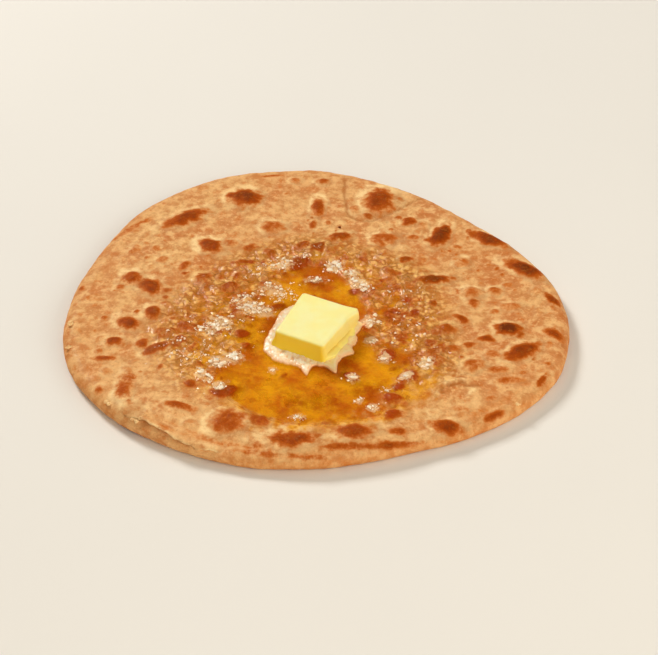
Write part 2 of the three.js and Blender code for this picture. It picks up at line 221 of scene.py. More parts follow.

# %% [markdown]
# ## Blisters
# Each blister is a low oval dome, browned on its crown. Its flank is pale, with a painted highlight on the
# side the light comes from and painted shade on the far side. A few are only bumps without brown, some are
# long streaks in a row along the rim, and a few flat ones are browned patches under the pool. The large ones
# stand where the real bread has them. Sculpting them one by one would be slow, and a displacement map would
# not give the solid form, so they are rows of a table, laid in by rule.

# %% The large blisters
# Middle x and y, length, width, heading in degrees, rise, brownness
BLISTERS = [
    (-31, 68.5, 14, 12, 0, 1.1, 0.9),
    (-55, 54, 20, 8, 35, 0.9, 0.8),
    (-44, 35, 12, 8, -42, 1.4, 0.8),
    (0, 62, 13, 6, 86, 1.2, 0.7),
    (-2, 49, 9, 3, 81, 0.6, 0.6),
    (-19, 48, 10, 8, 0, 1.2, 0.5),
    (-36, 37, 6, 5, 0, 0.7, 0.45),
    (-28, 34, 6, 5, 27, 0.6, 0.6),
    (-20, 31, 6, 6, 12, 0.6, 0.55),
    (-30, 24, 11, 3, 7, 0.4, 0.7),
    (-54, 22, 7, 4, 58, 0.5, 0.55),
    (-75, 14, 9, 8, -61, 1.2, 0.7),
    (-67, 8, 12, 8, -52, 1.0, 0.85),
    (-46, 13, 8, 7, -74, 1.2, 0.7),
    (-65, -8, 8, 7, -79, 1.1, 0.75),
    (-74, -15, 11, 7, -30, 1.0, 0.8),
    (-79, -25, 8, 5, -5, 0.8, 0.75),
    (-82, -35, 11, 3.5, -7, 0.5, 0.65),
    (-62, -30, 10, 6, 28, 1.0, 0.8),
    (-35, 8, 9, 6, 26, 1.0, 0.65),
    (-50, -18, 9, 5, 0, 0.5, 0.45),
    (-6, 35, 7, 5, 22, 0.6, 0.7),
    (0, 33, 8, 6, 35, 1.1, 0.8),
    (-8, 23, 11, 7, 48, 1.1, 0.8),
    (9, 40, 11, 6, 15, 1.0, 0.7),
    (26, 66, 18, 13, 83, 1.3, 0.75),
    (16, 60, 6, 5, 90, 0.6, 0.45),
    (27, 39, 11, 8, 13, 1.1, 0.6),
    (38, 52, 6, 5, 0, 0.8, 0.7),
    (51, 43, 16, 7, 65, 1.0, 0.95),
    (36, 25, 6, 5, 30, 0.6, 0.85),
    (47, 12, 15, 6, 8, 1.0, 0.85),
    (71, 41, 17, 7, -36, 0.9, 0.9),
    (84, 20, 18, 8, -36, 1.0, 0.9),
    (62, 4, 8, 7, 0, 1.2, 0.4),
    (62, -2, 5, 5, 0, 0.5, 0.6),
    (46, -3, 4, 4, 0, 0.4, 0.8),
    (57, -12, 8, 4, -39, 0.5, 0.7),
    (75, -18, 10, 7, -4, 1.0, 1.1),
    (50, -19, 9, 8, 18, 1.4, 0.55),
    (66, -24, 7, 4, 0, 0.5, 0.75),
    (30, -8, 7, 5, 20, 0.5, 0.65),
    (80, -31, 14, 8, 28, 1.0, 0.85),
    (93, -21, 10, 5, -38, 0.4, 0.75),
    (94, 0, 9, 4, -54, 0.4, 0.85),
    (60, -40, 9, 7, 44, 1.1, 0.5),
    (46, -38, 8, 7, -75, 1.5, 0.55),
    (86, -47, 9, 3, 57, 0.4, 0.7),
    (67, -66, 10, 4, 34, 0.4, 0.7),
    (49, -73, 12, 7, -8, 1.0, 0.75),
    (70, -42, 9, 4, 8, 0.5, 0.5),
    (73, -48, 12, 4, 12, 0.5, 0.5),
    (44, -27, 6, 4, 0, 0.5, 0.6),
    (47, -31, 5, 4, 20, 0.5, 0.6),
    (53, -30, 6, 4, -10, 0.5, 0.55),
    (59, -28, 7, 4, 15, 0.6, 0.6),
    (68, -33, 6, 4, -30, 0.4, 0.5),
    (-71.5, -63.5, 11, 8, -40, 1.2, 0.0),
    (-94.2, -18.4, 4, 4, 0, 0.5, 0.3),
    (-94.9, -23.8, 4, 2.5, 0, 0.4, 0.25),
    (-10, 82, 5, 4.3, 0, 0.8, 0.4),
    (2, 81, 6, 4.3, 0, 0.8, 0.55),
    (-20, 86, 9, 2.4, 6, 0.1, 0.6),
    (-49, 76, 7, 4, 0, 0.1, 0.35),
    (-78, 47, 22, 3.4, 41, 0.1, 0.5),
    (-95, 8, 4, 2.6, 90, 0.2, 0.55),
    (-94, -39, 4, 2, 90, 0.2, 0.5),
    (-83, -53, 5, 4, 90, 0.5, 0.5),
    (-89, 1, 7, 6, 90, 0.2, 0.3),
    (-68, -27, 6, 5, 90, 0.8, 0.6),
    (-61, -21, 6, 5, 0, 0.8, 0.6),
    (-52, -17, 8, 6, 0, 0.8, 0.55),
    (-53, -25, 6, 5, 0, 0.8, 0.6),
    (-5, -61, 5, 4, 90, 0.3, 0.65),
    (-27, -28, 6, 5, 0, 1.0, 0.6),
    (44, 49, 6, 4, 90, 0.8, 0.35),
    (59, 25, 7, 6, 90, 1.0, 0.35),
    (71, 6, 6, 5, 0, 1.0, 0.45),
    (77, -4, 8, 5, 0, 0.6, 0.45),
    (88, 5, 5, 4, 90, 0.8, 0.35),
    (40, 41, 5, 3.7, 0, 0.6, 0.5),
    (34, 54, 4, 3.1, 0, 0.5, 0.5),
    (39, -8, 4, 4, 90, 0.8, 0.65),
    (89, -38, 2.4, 2, 0, 0.3, 0.5),
    (66, -58, 4, 3, 0, 0.4, 0.45),
    (54, -64, 6, 4, 0, 0.4, 0.4),
    (31, -52, 6, 5, 0, 0.5, 0.6),
    (12, -84.6, 24, 3.2, 5, 0.1, 0.6),
    (31, -82.6, 24, 3.6, 8, 0.1, 0.7),
    (-20, -87, 20, 3, -11, 0.1, 0.45),
    (-3, -89, 22, 3, -4, 0.1, 0.5),
    (0, -60, 26, 14, 6, 0.0, 0.35),
    (20, -54, 20, 12, 0, 0.0, 0.35),
    (13, -36, 10, 16, 0, 0.0, 0.45),
    (-14, -12, 18, 12, 30, 0.0, 0.3),
    (30, -77, 6, 4, 0, 0.5, 0.65),
    (14, -77, 14, 8, 5, 1.1, 0.75),
    (29, -68, 9, 6, 18, 1.0, 0.65),
    (-9, -81, 18, 8, -2, 1.1, 0.75),
    (-33, -71, 14, 11, 22, 1.5, 0.65),
    (-21, -71, 8, 6, 0, 1.0, 0.65),
    (-35, -55, 12, 7, 28, 1.4, 0.9),
    (-48, -51, 5, 5, 0, 0.5, 0.75),
    (-51, -63, 12, 4, -18, 0.6, 0.65),
    (-73, -54, 11, 7, 77, 1.1, 0.6),
    (-72, -47, 8, 6, 0, 0.5, 0.5),
    (35, -47, 9, 7, 24, 1.7, 0.7),
    (27, -34, 8, 6, 39, 1.6, 0.7),
    (13, -46, 8, 6, -26, 1.6, 0.9),
    (29, -59, 10, 6, -32, 1.5, 0.6),
    (20, -17, 8, 7, -79, 1.7, 0.5),
    (15, 5, 7, 5, -10, 0.7, 0.7),
    (-15, -4, 7, 5, 10, 0.8, 0.8),
    (-29, -21, 7, 5, 0, 1.2, 0.8),
    (-2, 12, 11, 4, 7, 0.6, 0.65),
]
print(len(BLISTERS), "large blisters")

# %% [markdown]
# ### The small blisters
# Between the large blisters the dough is covered with ones too small to place one by one. They are drawn at
# random from a few fields, more where the dough is thin. Squaring a draw makes most of them small.

# %% The small blisters
# Fields: middle x and y, half width, half depth, how many, how brown at most
FIELDS = [
    (-52, -5, 40, 42, 80, 0.75),
    (60, 0, 36, 46, 80, 0.75),
    (0, -74, 72, 12, 46, 0.6),
    (-30, 2, 34, 30, 90, 0.8),
    (22, 30, 46, 26, 46, 0.7),
    (0, 0, 92, 84, 90, 0.5),
]
SHORTEST = 1.8
LENGTH_RANGE = 3.6
MOST_BROWN = 0.75
LEAST_BROWN_SHARE = 0.35
INSIDE_RIM = 0.95


def small_blisters():
    rows = []
    for middle_x, middle_y, wide, deep, count, brownest in FIELDS:
        x = middle_x + between(-wide, wide, count)
        y = middle_y + between(-deep, deep, count)
        length = SHORTEST + LENGTH_RANGE * draw.random(count) ** 2
        slim = between(0.6, 1.0, count)
        heading = between(-90, 90, count)
        brown = MOST_BROWN * brownest * (LEAST_BROWN_SHARE + (1 - LEAST_BROWN_SHARE) * draw.random(count))
        on_bread = np.hypot(x, y) < INSIDE_RIM * rim_radius(np.arctan2(y, x))
        for k in np.flatnonzero(on_bread):
            rise = 0.1 + 0.09 * length[k]
            rows.append((x[k], y[k], length[k], length[k] * slim[k], heading[k], rise, brown[k]))
    return rows


SMALL_BLISTERS = small_blisters()
print(len(SMALL_BLISTERS), "small blisters")

# %% [markdown]
# ### How a blister lifts and browns the dough
# One measure does all the work: how far out in its oval a point lies, 0 at the middle and 1 at the edge,
# bent by noise so that no edge is a clean oval. Height and brownness fade with it, and its flank is a
# band of it, pale with a painted highlight on the side towards the light and painted shade on the far
# side. Where blisters overlap the higher one counts, because added heights would make peaks.

# %% How a blister lifts and browns the dough
CORE = 0.35
LIFT_EDGE = 1.25
TOAST_EDGE = 1.55
EDGE_BEND = 0.3
FLANK_BEGINS = (0.9, 1.2)
FLANK_ENDS = (1.3, 1.8)
PALEST_RISE = 0.75
# On the side away from the light a flank keeps this share of its pallor; the rest is a painted highlight.
SHADED_PALLOR = 0.4


def lay_blisters(x, y, rows, lumps):
    """Height, brownness, pallor with a painted highlight, and painted shade that the blisters give each
    point.
    """
    height, toast, pale, shade = (np.zeros_like(x) for _ in range(4))
    for middle_x, middle_y, length, width, heading, rise, brown in rows:
        near = np.flatnonzero(np.hypot(x - middle_x, y - middle_y) < length)
        from_x, from_y = x[near] - middle_x, y[near] - middle_y
        along, across = turned(from_x, from_y, heading)
        out = np.hypot(along / (length / 2), across / (width / 2)) * (1 + EDGE_BEND * lumps[near])
        height[near] = np.maximum(height[near], rise * (1 - ramp(out, CORE, LIFT_EDGE)))
        toast[near] = np.maximum(toast[near], brown * (1 - ramp(out, CORE, TOAST_EDGE)))
        flank = (ramp(out, *FLANK_BEGINS) if brown else 1) * (1 - ramp(out, *FLANK_ENDS))
        # Painted light: the flank facing the light gets a painted highlight, the far side painted shade.
        facing_light = ramp(from_y - from_x, -0.5 * width, 0.5 * width)
        lit = SHADED_PALLOR + (1 - SHADED_PALLOR) * facing_light
        pale[near] = np.maximum(pale[near], min(1, PALEST_RISE * rise) * flank * lit)
        shade[near] = np.maximum(shade[near], min(1, rise) * flank * (1 - facing_light))
    return height, toast, pale, shade


one_blister = lay_blisters(np.zeros(1), np.zeros(1), [(0, 0, 10, 6, 0, 1.2, 0.8)], np.zeros(1))
print("one blister's crown: height, brownness, pallor, shade", [float(part[0]) for part in one_blister])

# %% [markdown]
# ## Folds and ridges
# One long fine fold runs through the dough at the back, and a small flap lies at the right with a line of
# painted shade under its lip. Each is a route of a few points. The distance to it gives the crease its depth
# and its painted shade, which is quicker to adjust than a line sculpted by hand.

# %% Folds and ridges
# Every route sinks the dough and carries painted shade; the second and third are the flap's under-lip line
# and a pocket.
CREASES = [
    [
        (11.6, 82.8), (11.1, 74), (11.9, 63.3), (13.1, 55.6), (16, 52.8),
        (22.3, 52.1), (31.2, 57.7), (39, 64.7), (44, 69),
    ],
    [(50, -52.2), (55.7, -50), (57.1, -51.6), (61.7, -51.3)],
    [(48, -53.2), (47.4, -56)],
]
RIDGES = [
    [(44.9, -57.6), (46, -53.6), (48.6, -51.1), (52.7, -48.8), (56, -48.6)],
    [(59.5, -53.9), (57.5, -56.5), (56.1, -58.8)],
]
CREASE_WIDTH = 0.75
CREASE_DEPTH = 0.45
RIDGE_WIDTH = 0.8
RIDGE_RISE = 0.6


def to_route(x, y, route):
    """The distance from each point to an open route of straight stretches."""
    stretches = [to_stretch(x, y, start, end) for start, end in zip(route, route[1:])]
    return np.minimum.reduce(stretches)


def near_routes(x, y, routes, width):
    """1 on the routes, falling to 0 two widths away."""
    return np.maximum.reduce([np.exp(-((to_route(x, y, route) / width) ** 2)) for route in routes])


print(len(CREASES), "creases and", len(RIDGES), "ridges")

# %% [markdown]
# ### Streaks along the rim
# The edge of the dough stretched as it was rolled, so streaks follow the rim, pale on their ridges and
# browned in their furrows. They are noise too, read by heading and radius instead of x and y, and read
# much faster outwards than along the rim, which draws its lumps out into streaks.

# %% Streaks along the rim
STREAK_HEIGHT = 0.28
STREAK_CONTRAST = 1.9
BACK_SHARE = 0.35


def rim_streaks(x, y):
    """Streaks along the rim from -1, a pale ridge, to 1, a brown furrow, and how much they count."""
    heading = np.arctan2(y, x)
    share = np.hypot(x, y) / rim_radius(heading)
    long_ones = grain(heading * BREAD_RADIUS, share * BREAD_RADIUS * 11, 30, 3.1)
    short_ones = grain(heading * BREAD_RADIUS, share * BREAD_RADIUS * 9, 12, 8.6)
    by_heading = BACK_SHARE + (1 - BACK_SHARE) * ramp(-np.sin(heading), 0.5, 0.95)
    streak = np.clip(STREAK_CONTRAST * (long_ones + 0.5 * short_ones), -1, 1)
    return streak, by_heading * ramp(share, 0.8, 0.94)


rim_x, rim_y = rim_radius(turns) * np.cos(turns), rim_radius(turns) * np.sin(turns)
print("furrows take up", (rim_streaks(rim_x, rim_y)[0] > 0.5).mean().round(2), "of the rim")

# %% [markdown]
# ## Where the butter frothed
# The butter sizzled on the hot dough and left froth behind in patches. The same table serves twice:
# here for a thin lacy film of froth, which is only a colour, and later for the raised flecks.

# %% The froth's patches
# Patches: middle x and y, length, width, heading in degrees, how many clumps, size of a clump
PATCHES = [
    (-15, 22, 12, 7, 20, 20, 1.5),
    (-17, 6, 12, 8, -20, 26, 1.5),
    (-21, -7, 6, 4, 0, 10, 1.9),
    (-26, -5, 9, 6, 30, 16, 1.7),
    (-31, -1, 9, 5, 40, 12, 1.4),
    (-38, -15, 8, 7, 0, 16, 1.8),
    (-42, -20, 6, 5, 0, 8, 1.5),
    (-48, -33, 17, 8, 20, 22, 1.1),
    (-38, -38, 5, 4, 0, 8, 2.1),
    (-32, -35, 5, 4, 0, 7, 2.2),
    (-44, -45, 3, 3, 0, 4, 1.9),
    (-41, -48, 2, 2, 0, 2, 1.6),
    (-37, -51, 4, 3, 20, 5, 1.9),
    (-17, -42, 1, 1, 0, 1, 1.9),
    (-7, -69, 6, 2, 0, 4, 1.4),
    (-54, -25, 13, 7, 0, 12, 0.9),
    (-1, 13, 8, 4, 0, 8, 1.4),
    (7, 21, 5, 4, 50, 10, 2.2),
    (14, 16, 3, 6, 70, 6, 1.6),
    (17, 10, 8, 4, -40, 12, 1.8),
    (20, -14, 4, 6, 0, 8, 1.9),
    (21, -25, 3, 3, 0, 4, 1.5),
    (26, -36, 2, 2, 0, 2, 2.2),
    (14, -47, 2, 2, 0, 2, 2.0),
    (34, -47, 5, 3, 40, 5, 1.7),
    (42, -40, 3, 4, 0, 3, 2.3),
    (21, -64, 2, 2, 0, 2, 2.0),
    (16, -60, 3, 2, 0, 3, 1.2),
    (26, -54, 7, 4, 0, 5, 1.2),
    (32, 4, 14, 9, -20, 14, 1.0),
    (35, -20, 14, 18, 0, 22, 1.0),
    (-7, 28, 10, 5, 0, 6, 1.2),
    (-24, 17, 8, 6, 30, 8, 1.1),
    (-30, -8, 36, 34, 0, 36, 0.8),
]
THINNEST_FILM = 0.12
CROWDING = 0.9


def froth_film(x, y):
    """How thick the film of froth is at each point, from 0 to 1."""
    film = np.zeros_like(x)
    for middle_x, middle_y, length, width, heading, count, size in PATCHES:
        along, across = turned(x - middle_x, y - middle_y, heading)
        along, across = along / (0.5 * length + 0.7 * size), across / (0.5 * width + 0.7 * size)
        crowd = min(1, THINNEST_FILM + CROWDING * count * size**2 / (length * width))
        film = np.maximum(film, crowd * np.exp(-(along**2) - across**2))
    return film


print(len(PATCHES), "patches of froth")

# %% [markdown]
# ## Dough that fried
# In hot butter the wet dough bubbles up into small domes, most of all behind the pat and on both sides
# of the pool. Modelled spheres would cut into each other, so the domes are cell noise: the distance to
# the nearest of many scattered points, turned upside down. Past the shore the oil soaks into the dough,
# less far at the front, where it ran off.

# %% Dough that fried
DOME = 4.4
BEAD = 2.3
SIZZLE_REACH = 20
LEFT_SIZZLE = 17
RIGHT_SIZZLE = 16
FRONT_SIZZLE = 0.22
CELL_EDGE = 1.15
SOAK_REACH = 21
FRONT_REACH = 5


def bubbles(x, y, size, seed):
    """Domes of about that size, side by side: 1 at a bubble's middle, 0 between bubbles."""
    away = [noise.voronoi((a / size, b / size, seed))[0][0] for a, b in zip(x, y)]
    return 1 - np.clip(np.array(away) * CELL_EDGE, 0, 1) ** 2


def sizzle(x, y, off_shore, waves):
    """How strongly the dough has bubbled up in the frying butter at each point, from 0 to 1."""
    left = ramp(-x, 8, 30) * ramp(y, -48, -26)
    right = ramp(x, 8, 22) * ramp(y, -42, -30)
    inward = LEFT_SIZZLE * left + RIGHT_SIZZLE * right
    band = ramp(off_shore, -10 - inward, -4 - 0.75 * inward) * (1 - ramp(off_shore, 4, SIZZLE_REACH))
    behind = ramp(y + 0.25 * np.abs(x), -52, -26)
    return band * (FRONT_SIZZLE + (1 - FRONT_SIZZLE) * behind) * ramp(waves, -1.0, -0.25)


def soaking(y, off_shore, lumps, waves, toast):
    """How oily the dough is, less on the browned parts that lie away from the pool."""
    reach = FRONT_REACH + (SOAK_REACH - FRONT_REACH) * ramp(y, -70, -38)
    wet = 1 - ramp(off_shore + 8 * waves + 5 * lumps, -2, reach)
    return wet * (1 - 0.7 * toast * ramp(off_shore, 6, 14))


across = np.linspace(-40, 40, 400)
print("domes are on average", bubbles(across, 0 * across, DOME, 5.3).mean().round(2), "of their full height")

# %% [markdown]
# ## The whole top at any point
# Now all of it is put together in one function of x and y, which the bread, its torn sheet, the pool,
# the flecks and the crumbs all ask. Each could have its own, but then they would not fit each other.
# It gives the smooth height, the relief on it, and the fields that the finish will read.

# %% The whole top at any point
FINE_LUMP = 1.7
LUMP = 3.4
WAVE = 13
WAVE_RELIEF = 0.26
LUMP_RELIEF = 0.32
FINE_RELIEF = 0.14
SIZZLE_LIFT = 0.45
DOME_LIFT = 1.1
BEAD_LIFT = 0.4
CHAR_SPOT = 5.5
DROOP = 0.7
SHORE_LIP = 0.22
FULL_DEPTH = 0.7
DOUGH_FIELDS = ("toast", "pale", "streak", "wet", "deep", "painted_shade", "fried", "film")


def bread_top(x, y):
    """The top's smooth height, its relief, and the finish of the dough at each point."""
    lumps = grain(x, y, LUMP, 1.3)
    fine = grain(x, y, FINE_LUMP, 2.9)
    waves = grain(x, y, WAVE, 4.7)
    height, toast, pale, shade = lay_blisters(x, y, BLISTERS, lumps + 0.5 * fine)
    small_height, small_toast, small_pale, small_shade = lay_blisters(x, y, SMALL_BLISTERS, lumps)
    bent_x, bent_y = x + 0.5 * lumps, y + 0.5 * lumps
    creased_and_shaded = near_routes(bent_x, bent_y, CREASES, CREASE_WIDTH)
    ridged = near_routes(bent_x, bent_y, RIDGES, RIDGE_WIDTH)
    streak, streaky = rim_streaks(x, y)
    smooth = smooth_top(x, y)
    share = np.hypot(x, y) / rim_radius(np.arctan2(y, x))
    off_shore = past_shore(x, y)
    fried = sizzle(x, y, off_shore, waves)
    domes = bubbles(x + 1.5 * lumps, y + 1.5 * waves, DOME, 5.3)
    beads = bubbles(x, y, BEAD, 8.8)
    bubbly = SIZZLE_LIFT + DOME_LIFT * domes * (0.7 + 0.8 * lumps) + BEAD_LIFT * beads + 0.2 * fine
    relief = np.maximum(height, small_height) + WAVE_RELIEF * waves + LUMP_RELIEF * lumps + FINE_RELIEF * fine
    relief += fried * bubbly
    relief += RIDGE_RISE * ridged - CREASE_DEPTH * creased_and_shaded - STREAK_HEIGHT * streaky * streak
    relief -= DROOP * ramp(-y, 20, 75) * ramp(share, 0.8, 0.98)
    low_shore = np.maximum(0, POOL_LEVEL + SHORE_LIP - smooth - relief)
    relief += low_shore * ramp(off_shore, -3.5, 2.5) * (1 - ramp(off_shore, 8, 16))
    depth = np.clip((POOL_LEVEL + 0.1 - smooth - relief) / FULL_DEPTH, 0, 1)
    charred = fried * ramp(grain(x, y, CHAR_SPOT, 6.6) + 0.4 * lumps, 0.1, 0.5)
    stain = ramp(-off_shore + 4 * lumps + 7 * waves, -13, 4)
    return {
        "smooth": smooth,
        "relief": relief,
        "toast": np.maximum.reduce([toast, small_toast, 0.5 * charred]),
        # Pale includes the painted highlight on each blister's lit flank.
        "pale": np.maximum.reduce([pale, small_pale, 0.55 * streaky * np.clip(-streak, 0, 1), 0.95 * ridged]),
        "streak": np.clip(streak, 0, 1) * streaky,
        "wet": soaking(y, off_shore, lumps, waves, toast) * (1 - ramp(depth, 0.2, 0.7)),
        "deep": np.maximum(0.6 * stain * (1 - 0.85 * fried * domes), depth * ramp(-off_shore, -5, 2)),
        # Painted shade: the creases' dark lines and the far flanks of blisters.
        "painted_shade": np.maximum.reduce([creased_and_shaded * (1 - ridged), 0.55 * shade, 0.4 * small_shade]),
        "fried": fried,
        "film": froth_film(x, y),
    }


print("the dough's fields:", *DOUGH_FIELDS)

# %% [markdown]
# ## The bread itself
# The bread is one body of revolution before it is made uneven, so it is spun: a few vertices along
# half of its section, from the middle of the top round the rim to the middle of the sole, are turned
# through a full circle. A grid would give more even faces, but it has corners that show on a round rim.

# %% Half of the section
EQUATOR = 0.42
SHOULDER = 0.94
SOLE = 0.965
AROUND = 620
TOP_RINGS = 112
SHOULDER_RINGS = 8
UNDER_RINGS = 5
SOLE_RINGS = 16


def shoulder_drop(x, y):
    """How far the rounded rim has fallen below the top's own height."""
    share = np.hypot(x, y) / rim_radius(np.arctan2(y, x))
    over = np.clip((share - SHOULDER) / (1 - SHOULDER), 0, 1)
    return (1 - EQUATOR) * BREAD_THICKNESS * (1 - np.sqrt(1 - over**2))


def half_section():
    """Shares of the radius and of the height, from the top's middle to the sole's."""
    top = [(SHOULDER * i / TOP_RINGS, 1) for i in range(TOP_RINGS)]
    over = np.linspace(0, math.pi / 2, SHOULDER_RINGS + 1)
    under = np.linspace(0, math.pi / 2, UNDER_RINGS + 1)[1:]
    shoulder = [
        (SHOULDER + (1 - SHOULDER) * math.sin(t), EQUATOR + (1 - EQUATOR) * math.cos(t))
        for t in over
    ]
    belly = [(SOLE + (1 - SOLE) * math.cos(t), EQUATOR * (1 - math.sin(t))) for t in under]
    sole = [(SOLE * (1 - i / SOLE_RINGS), 0) for i in range(1, SOLE_RINGS + 1)]
    return top + shoulder + belly + sole


print("half of the section has", len(half_section()), "points")

# %% [markdown]
# ### Spin it
# The spin leaves many vertices on one spot where the line meets its axis, on the top and on the sole.
# They are merged, so that the middle is closed, and the faces are turned to point outwards. The froth
# ring is spun later by the same helper.

# %% Spin it
def full_spin(made, line, edges, steps):
    """Turns a line of vertices through a full circle about the upright axis."""
    circle = {"cent": (0, 0, 0), "axis": (0, 0, 1), "angle": 2 * math.pi}
    bmesh.ops.spin(made, geom=line + edges, steps=steps, use_merge=True, **circle)


def spun_disc():
    disc = bmesh.new()
    line = [disc.verts.new((share, 0, level)) for share, level in half_section()]
    edges = [disc.edges.new(pair) for pair in zip(line, line[1:])]
    full_spin(disc, line, edges, AROUND)
    bmesh.ops.remove_doubles(disc, verts=disc.verts, dist=1e-5)
    bmesh.ops.recalc_face_normals(disc, faces=disc.faces)
    return disc


def mesh_from(made, name):
    mesh = bpy.data.meshes.new(name)
    made.to_mesh(mesh)
    made.free()
    return mesh


bread_mesh = mesh_from(spun_disc(), "paratha_dressed")
print("the spun disc has", len(bread_mesh.vertices), "points")

# %% [markdown]
# ### Read, move and paint its points
# A loop over tens of thousands of vertices is slow. foreach_get and foreach_set copy them all to and
# from one array. A painted field is an attribute, one number at each vertex, which a finish reads by
# name. An image on a UV map could do the same, but it would need seams and enough pixels.

# %% Read, move and paint points
def points_of(mesh):
    numbers = np.zeros(len(mesh.vertices) * 3)
    mesh.vertices.foreach_get("co", numbers)
    return numbers.reshape(-1, 3)


def move_points(mesh, points):
    mesh.vertices.foreach_set("co", np.ascontiguousarray(points, np.float32).ravel())
    mesh.update()


def paint(mesh, name, values):
    """A named value at each vertex, for the finish to read."""
    layer = mesh.attributes.get(name) or mesh.attributes.new(name, "FLOAT", "POINT")
    layer.data.foreach_set("value", np.ascontiguousarray(values, np.float32))


print("before it is shaped, the disc reaches", points_of(bread_mesh).max(axis=0).round(3))

# %% [markdown]
# ### The underside's browning
# The underside lay on the griddle too. Nobody sees where its spots are, so they are drawn at random:
# shallow hollows with brown middles, in the same kind of rows as the blisters.

# %% The underside's browning
SOLE_SPOTS = 110
SOLE_HOLLOW = 0.3


def sole_spots():
    x = between(-90, 90, SOLE_SPOTS)
    y = between(-82, 82, SOLE_SPOTS)
    length = 4 + 14 * draw.random(SOLE_SPOTS) ** 2
    slim = between(0.5, 0.95, SOLE_SPOTS)
    heading = between(-90, 90, SOLE_SPOTS)
    brown = between(0.45, 0.95, SOLE_SPOTS)
    return list(zip(x, y, length, length * slim, heading, np.full(SOLE_SPOTS, SOLE_HOLLOW), brown))


SOLE_BLISTERS = sole_spots()
print(len(SOLE_BLISTERS), "browned spots on the underside")

# %% [markdown]
# ### Shape the bread
# Every vertex of the disc goes to where the outline and the top put it. At the front left the rim's
# upper edge is drawn in, because there the top sheet of dough has torn away from the layers below it.

# %% Shape the bread
TORN_FROM = -139
TORN_TO = -109
TORN_FADE = 6
TORN_SHOULDER = 0.905
FLAKE_ROOT = 0.86
RIM_ROUGHNESS = 0.22
SOLE_LEVEL = 0.2


def torn_share(heading):
    degrees = np.degrees(heading)
    begun = ramp(degrees, TORN_FROM, TORN_FROM + TORN_FADE)
    return begun * (1 - ramp(degrees, TORN_TO - TORN_FADE, TORN_TO))


def shape_bread(mesh):
    disc = points_of(mesh)
    heading = np.arctan2(disc[:, 1], disc[:, 0])
    share = np.hypot(disc[:, 0], disc[:, 1])
    level = disc[:, 2]
    pulled = np.where(level > EQUATOR + 0.01, (SHOULDER - TORN_SHOULDER) * torn_share(heading), 0)
    share = share - pulled * ramp(share, FLAKE_ROOT, SHOULDER) * (1 - ramp(share, SHOULDER, 1))
    rough = grain(heading * 60, level * 5 + share * 20, 2.6, 8.2) * ramp(share, 0.93, 0.98)
    radius = share * rim_radius(heading) + RIM_ROUGHNESS * rough
    x, y = radius * np.cos(heading), radius * np.sin(heading)
    top = bread_top(x, y)
    on_top = ramp(level, EQUATOR, 0.95)
    z = level * top["smooth"] + on_top * top["relief"]
    lumps = grain(x, y, LUMP, 6.1)
    hollow, sole_toast, sole_pale = lay_blisters(x, y, SOLE_BLISTERS, lumps)[:3]
    is_under = level < SOLE_LEVEL
    under = is_under * (1 - ramp(share, 0.86, 0.96))
    z = z + under * (hollow * 0.7 + 0.12 * np.maximum(0, lumps))
    side = ramp(share, 0.955, 0.99) * (1 - ramp(level, 0.8, 1)) * ramp(level, 0.02, 0.2)
    side *= 1 - 0.8 * torn_share(heading)
    griddled = (0.3 + 0.25 * ramp(-np.sin(heading), -0.2, 0.7)) * side
    move_points(mesh, np.column_stack([x, y, z]))
    paint(mesh, "toast", np.where(is_under, sole_toast, top["toast"] * on_top))
    paint(mesh, "pale", np.where(is_under, 0.3 * sole_pale, top["pale"] * on_top))
    paint(mesh, "streak", np.maximum(top["streak"] * on_top, griddled))
    for name in ("wet", "deep", "painted_shade", "fried", "film"):
        paint(mesh, name, top[name] * on_top)


shape_bread(bread_mesh)
print("the bread's height runs up to", points_of(bread_mesh)[:, 2].max().round(2), "mm")

# %% [markdown]
# ## The torn sheet
# At the front left the top sheet of dough has torn along the rim and stands a little clear of the
# layers below. It is a thin strip: a grid bent along the rim, ragged at its lip, with a bay where a piece
# broke off. It could be cut out of the bread's own mesh, but a strip of its own can be much finer.

# %% The strip of torn dough
SHEET_FROM = -139
SHEET_TO = -111
FLAKE_LIP = 0.994
FLAKE_FURTHEST = 0.998
BAY_HEADING = -129.5
BAY_WIDTH = 6
BAY_DEPTH = 0.021
FLAKE_LONG = 170
FLAKE_DEEP = 16


def ragged_lip(along, heading):
    """How far out the sheet reaches, as a share of the rim's radius."""
    rag = 0.009 * noise.noise((along * 6, 0.3, 5.5)) + 0.006 * noise.noise((along * 27, 0.7, 2.5))
    ends = math.sin(math.pi * min(1, max(0, along))) ** 0.3
    bay = max(0, 1 - ((math.degrees(heading) - BAY_HEADING) / BAY_WIDTH) ** 2)
    lip = FLAKE_ROOT + (FLAKE_LIP + rag - BAY_DEPTH * bay - FLAKE_ROOT) * (0.8 + 0.2 * ends)
    return min(lip, FLAKE_FURTHEST)


def torn_sheet():
    sheet = bmesh.new()
    bmesh.ops.create_grid(sheet, x_segments=FLAKE_LONG, y_segments=FLAKE_DEEP, size=0.5)
    for vertex in sheet.verts:
        along, out = vertex.co.x + 0.5, vertex.co.y + 0.5
        heading = math.radians(SHEET_FROM + (SHEET_TO - SHEET_FROM) * along)
        share = FLAKE_ROOT + (ragged_lip(along, heading) - FLAKE_ROOT) * out
        radius = share * float(rim_radius(heading))
        vertex.co = (radius * math.cos(heading), radius * math.sin(heading), out)
    bmesh.ops.recalc_face_normals(sheet, faces=sheet.faces)
    return sheet


sheet_mesh = mesh_from(torn_sheet(), "torn_sheet")
print("the strip has", len(sheet_mesh.polygons), "faces")

# %% [markdown]
# ### Lay the strip on the dough
# The strip is buried at its root and lifted at its lip. At its two ends it follows the round shoulder of
# the bread, and between them it is held up and stands clear of it.

# %% Lay the strip on the dough
FLAKE_BURIED = -0.4
FLAKE_RISE = 0.52
FLAKE_LIFT = 0.2


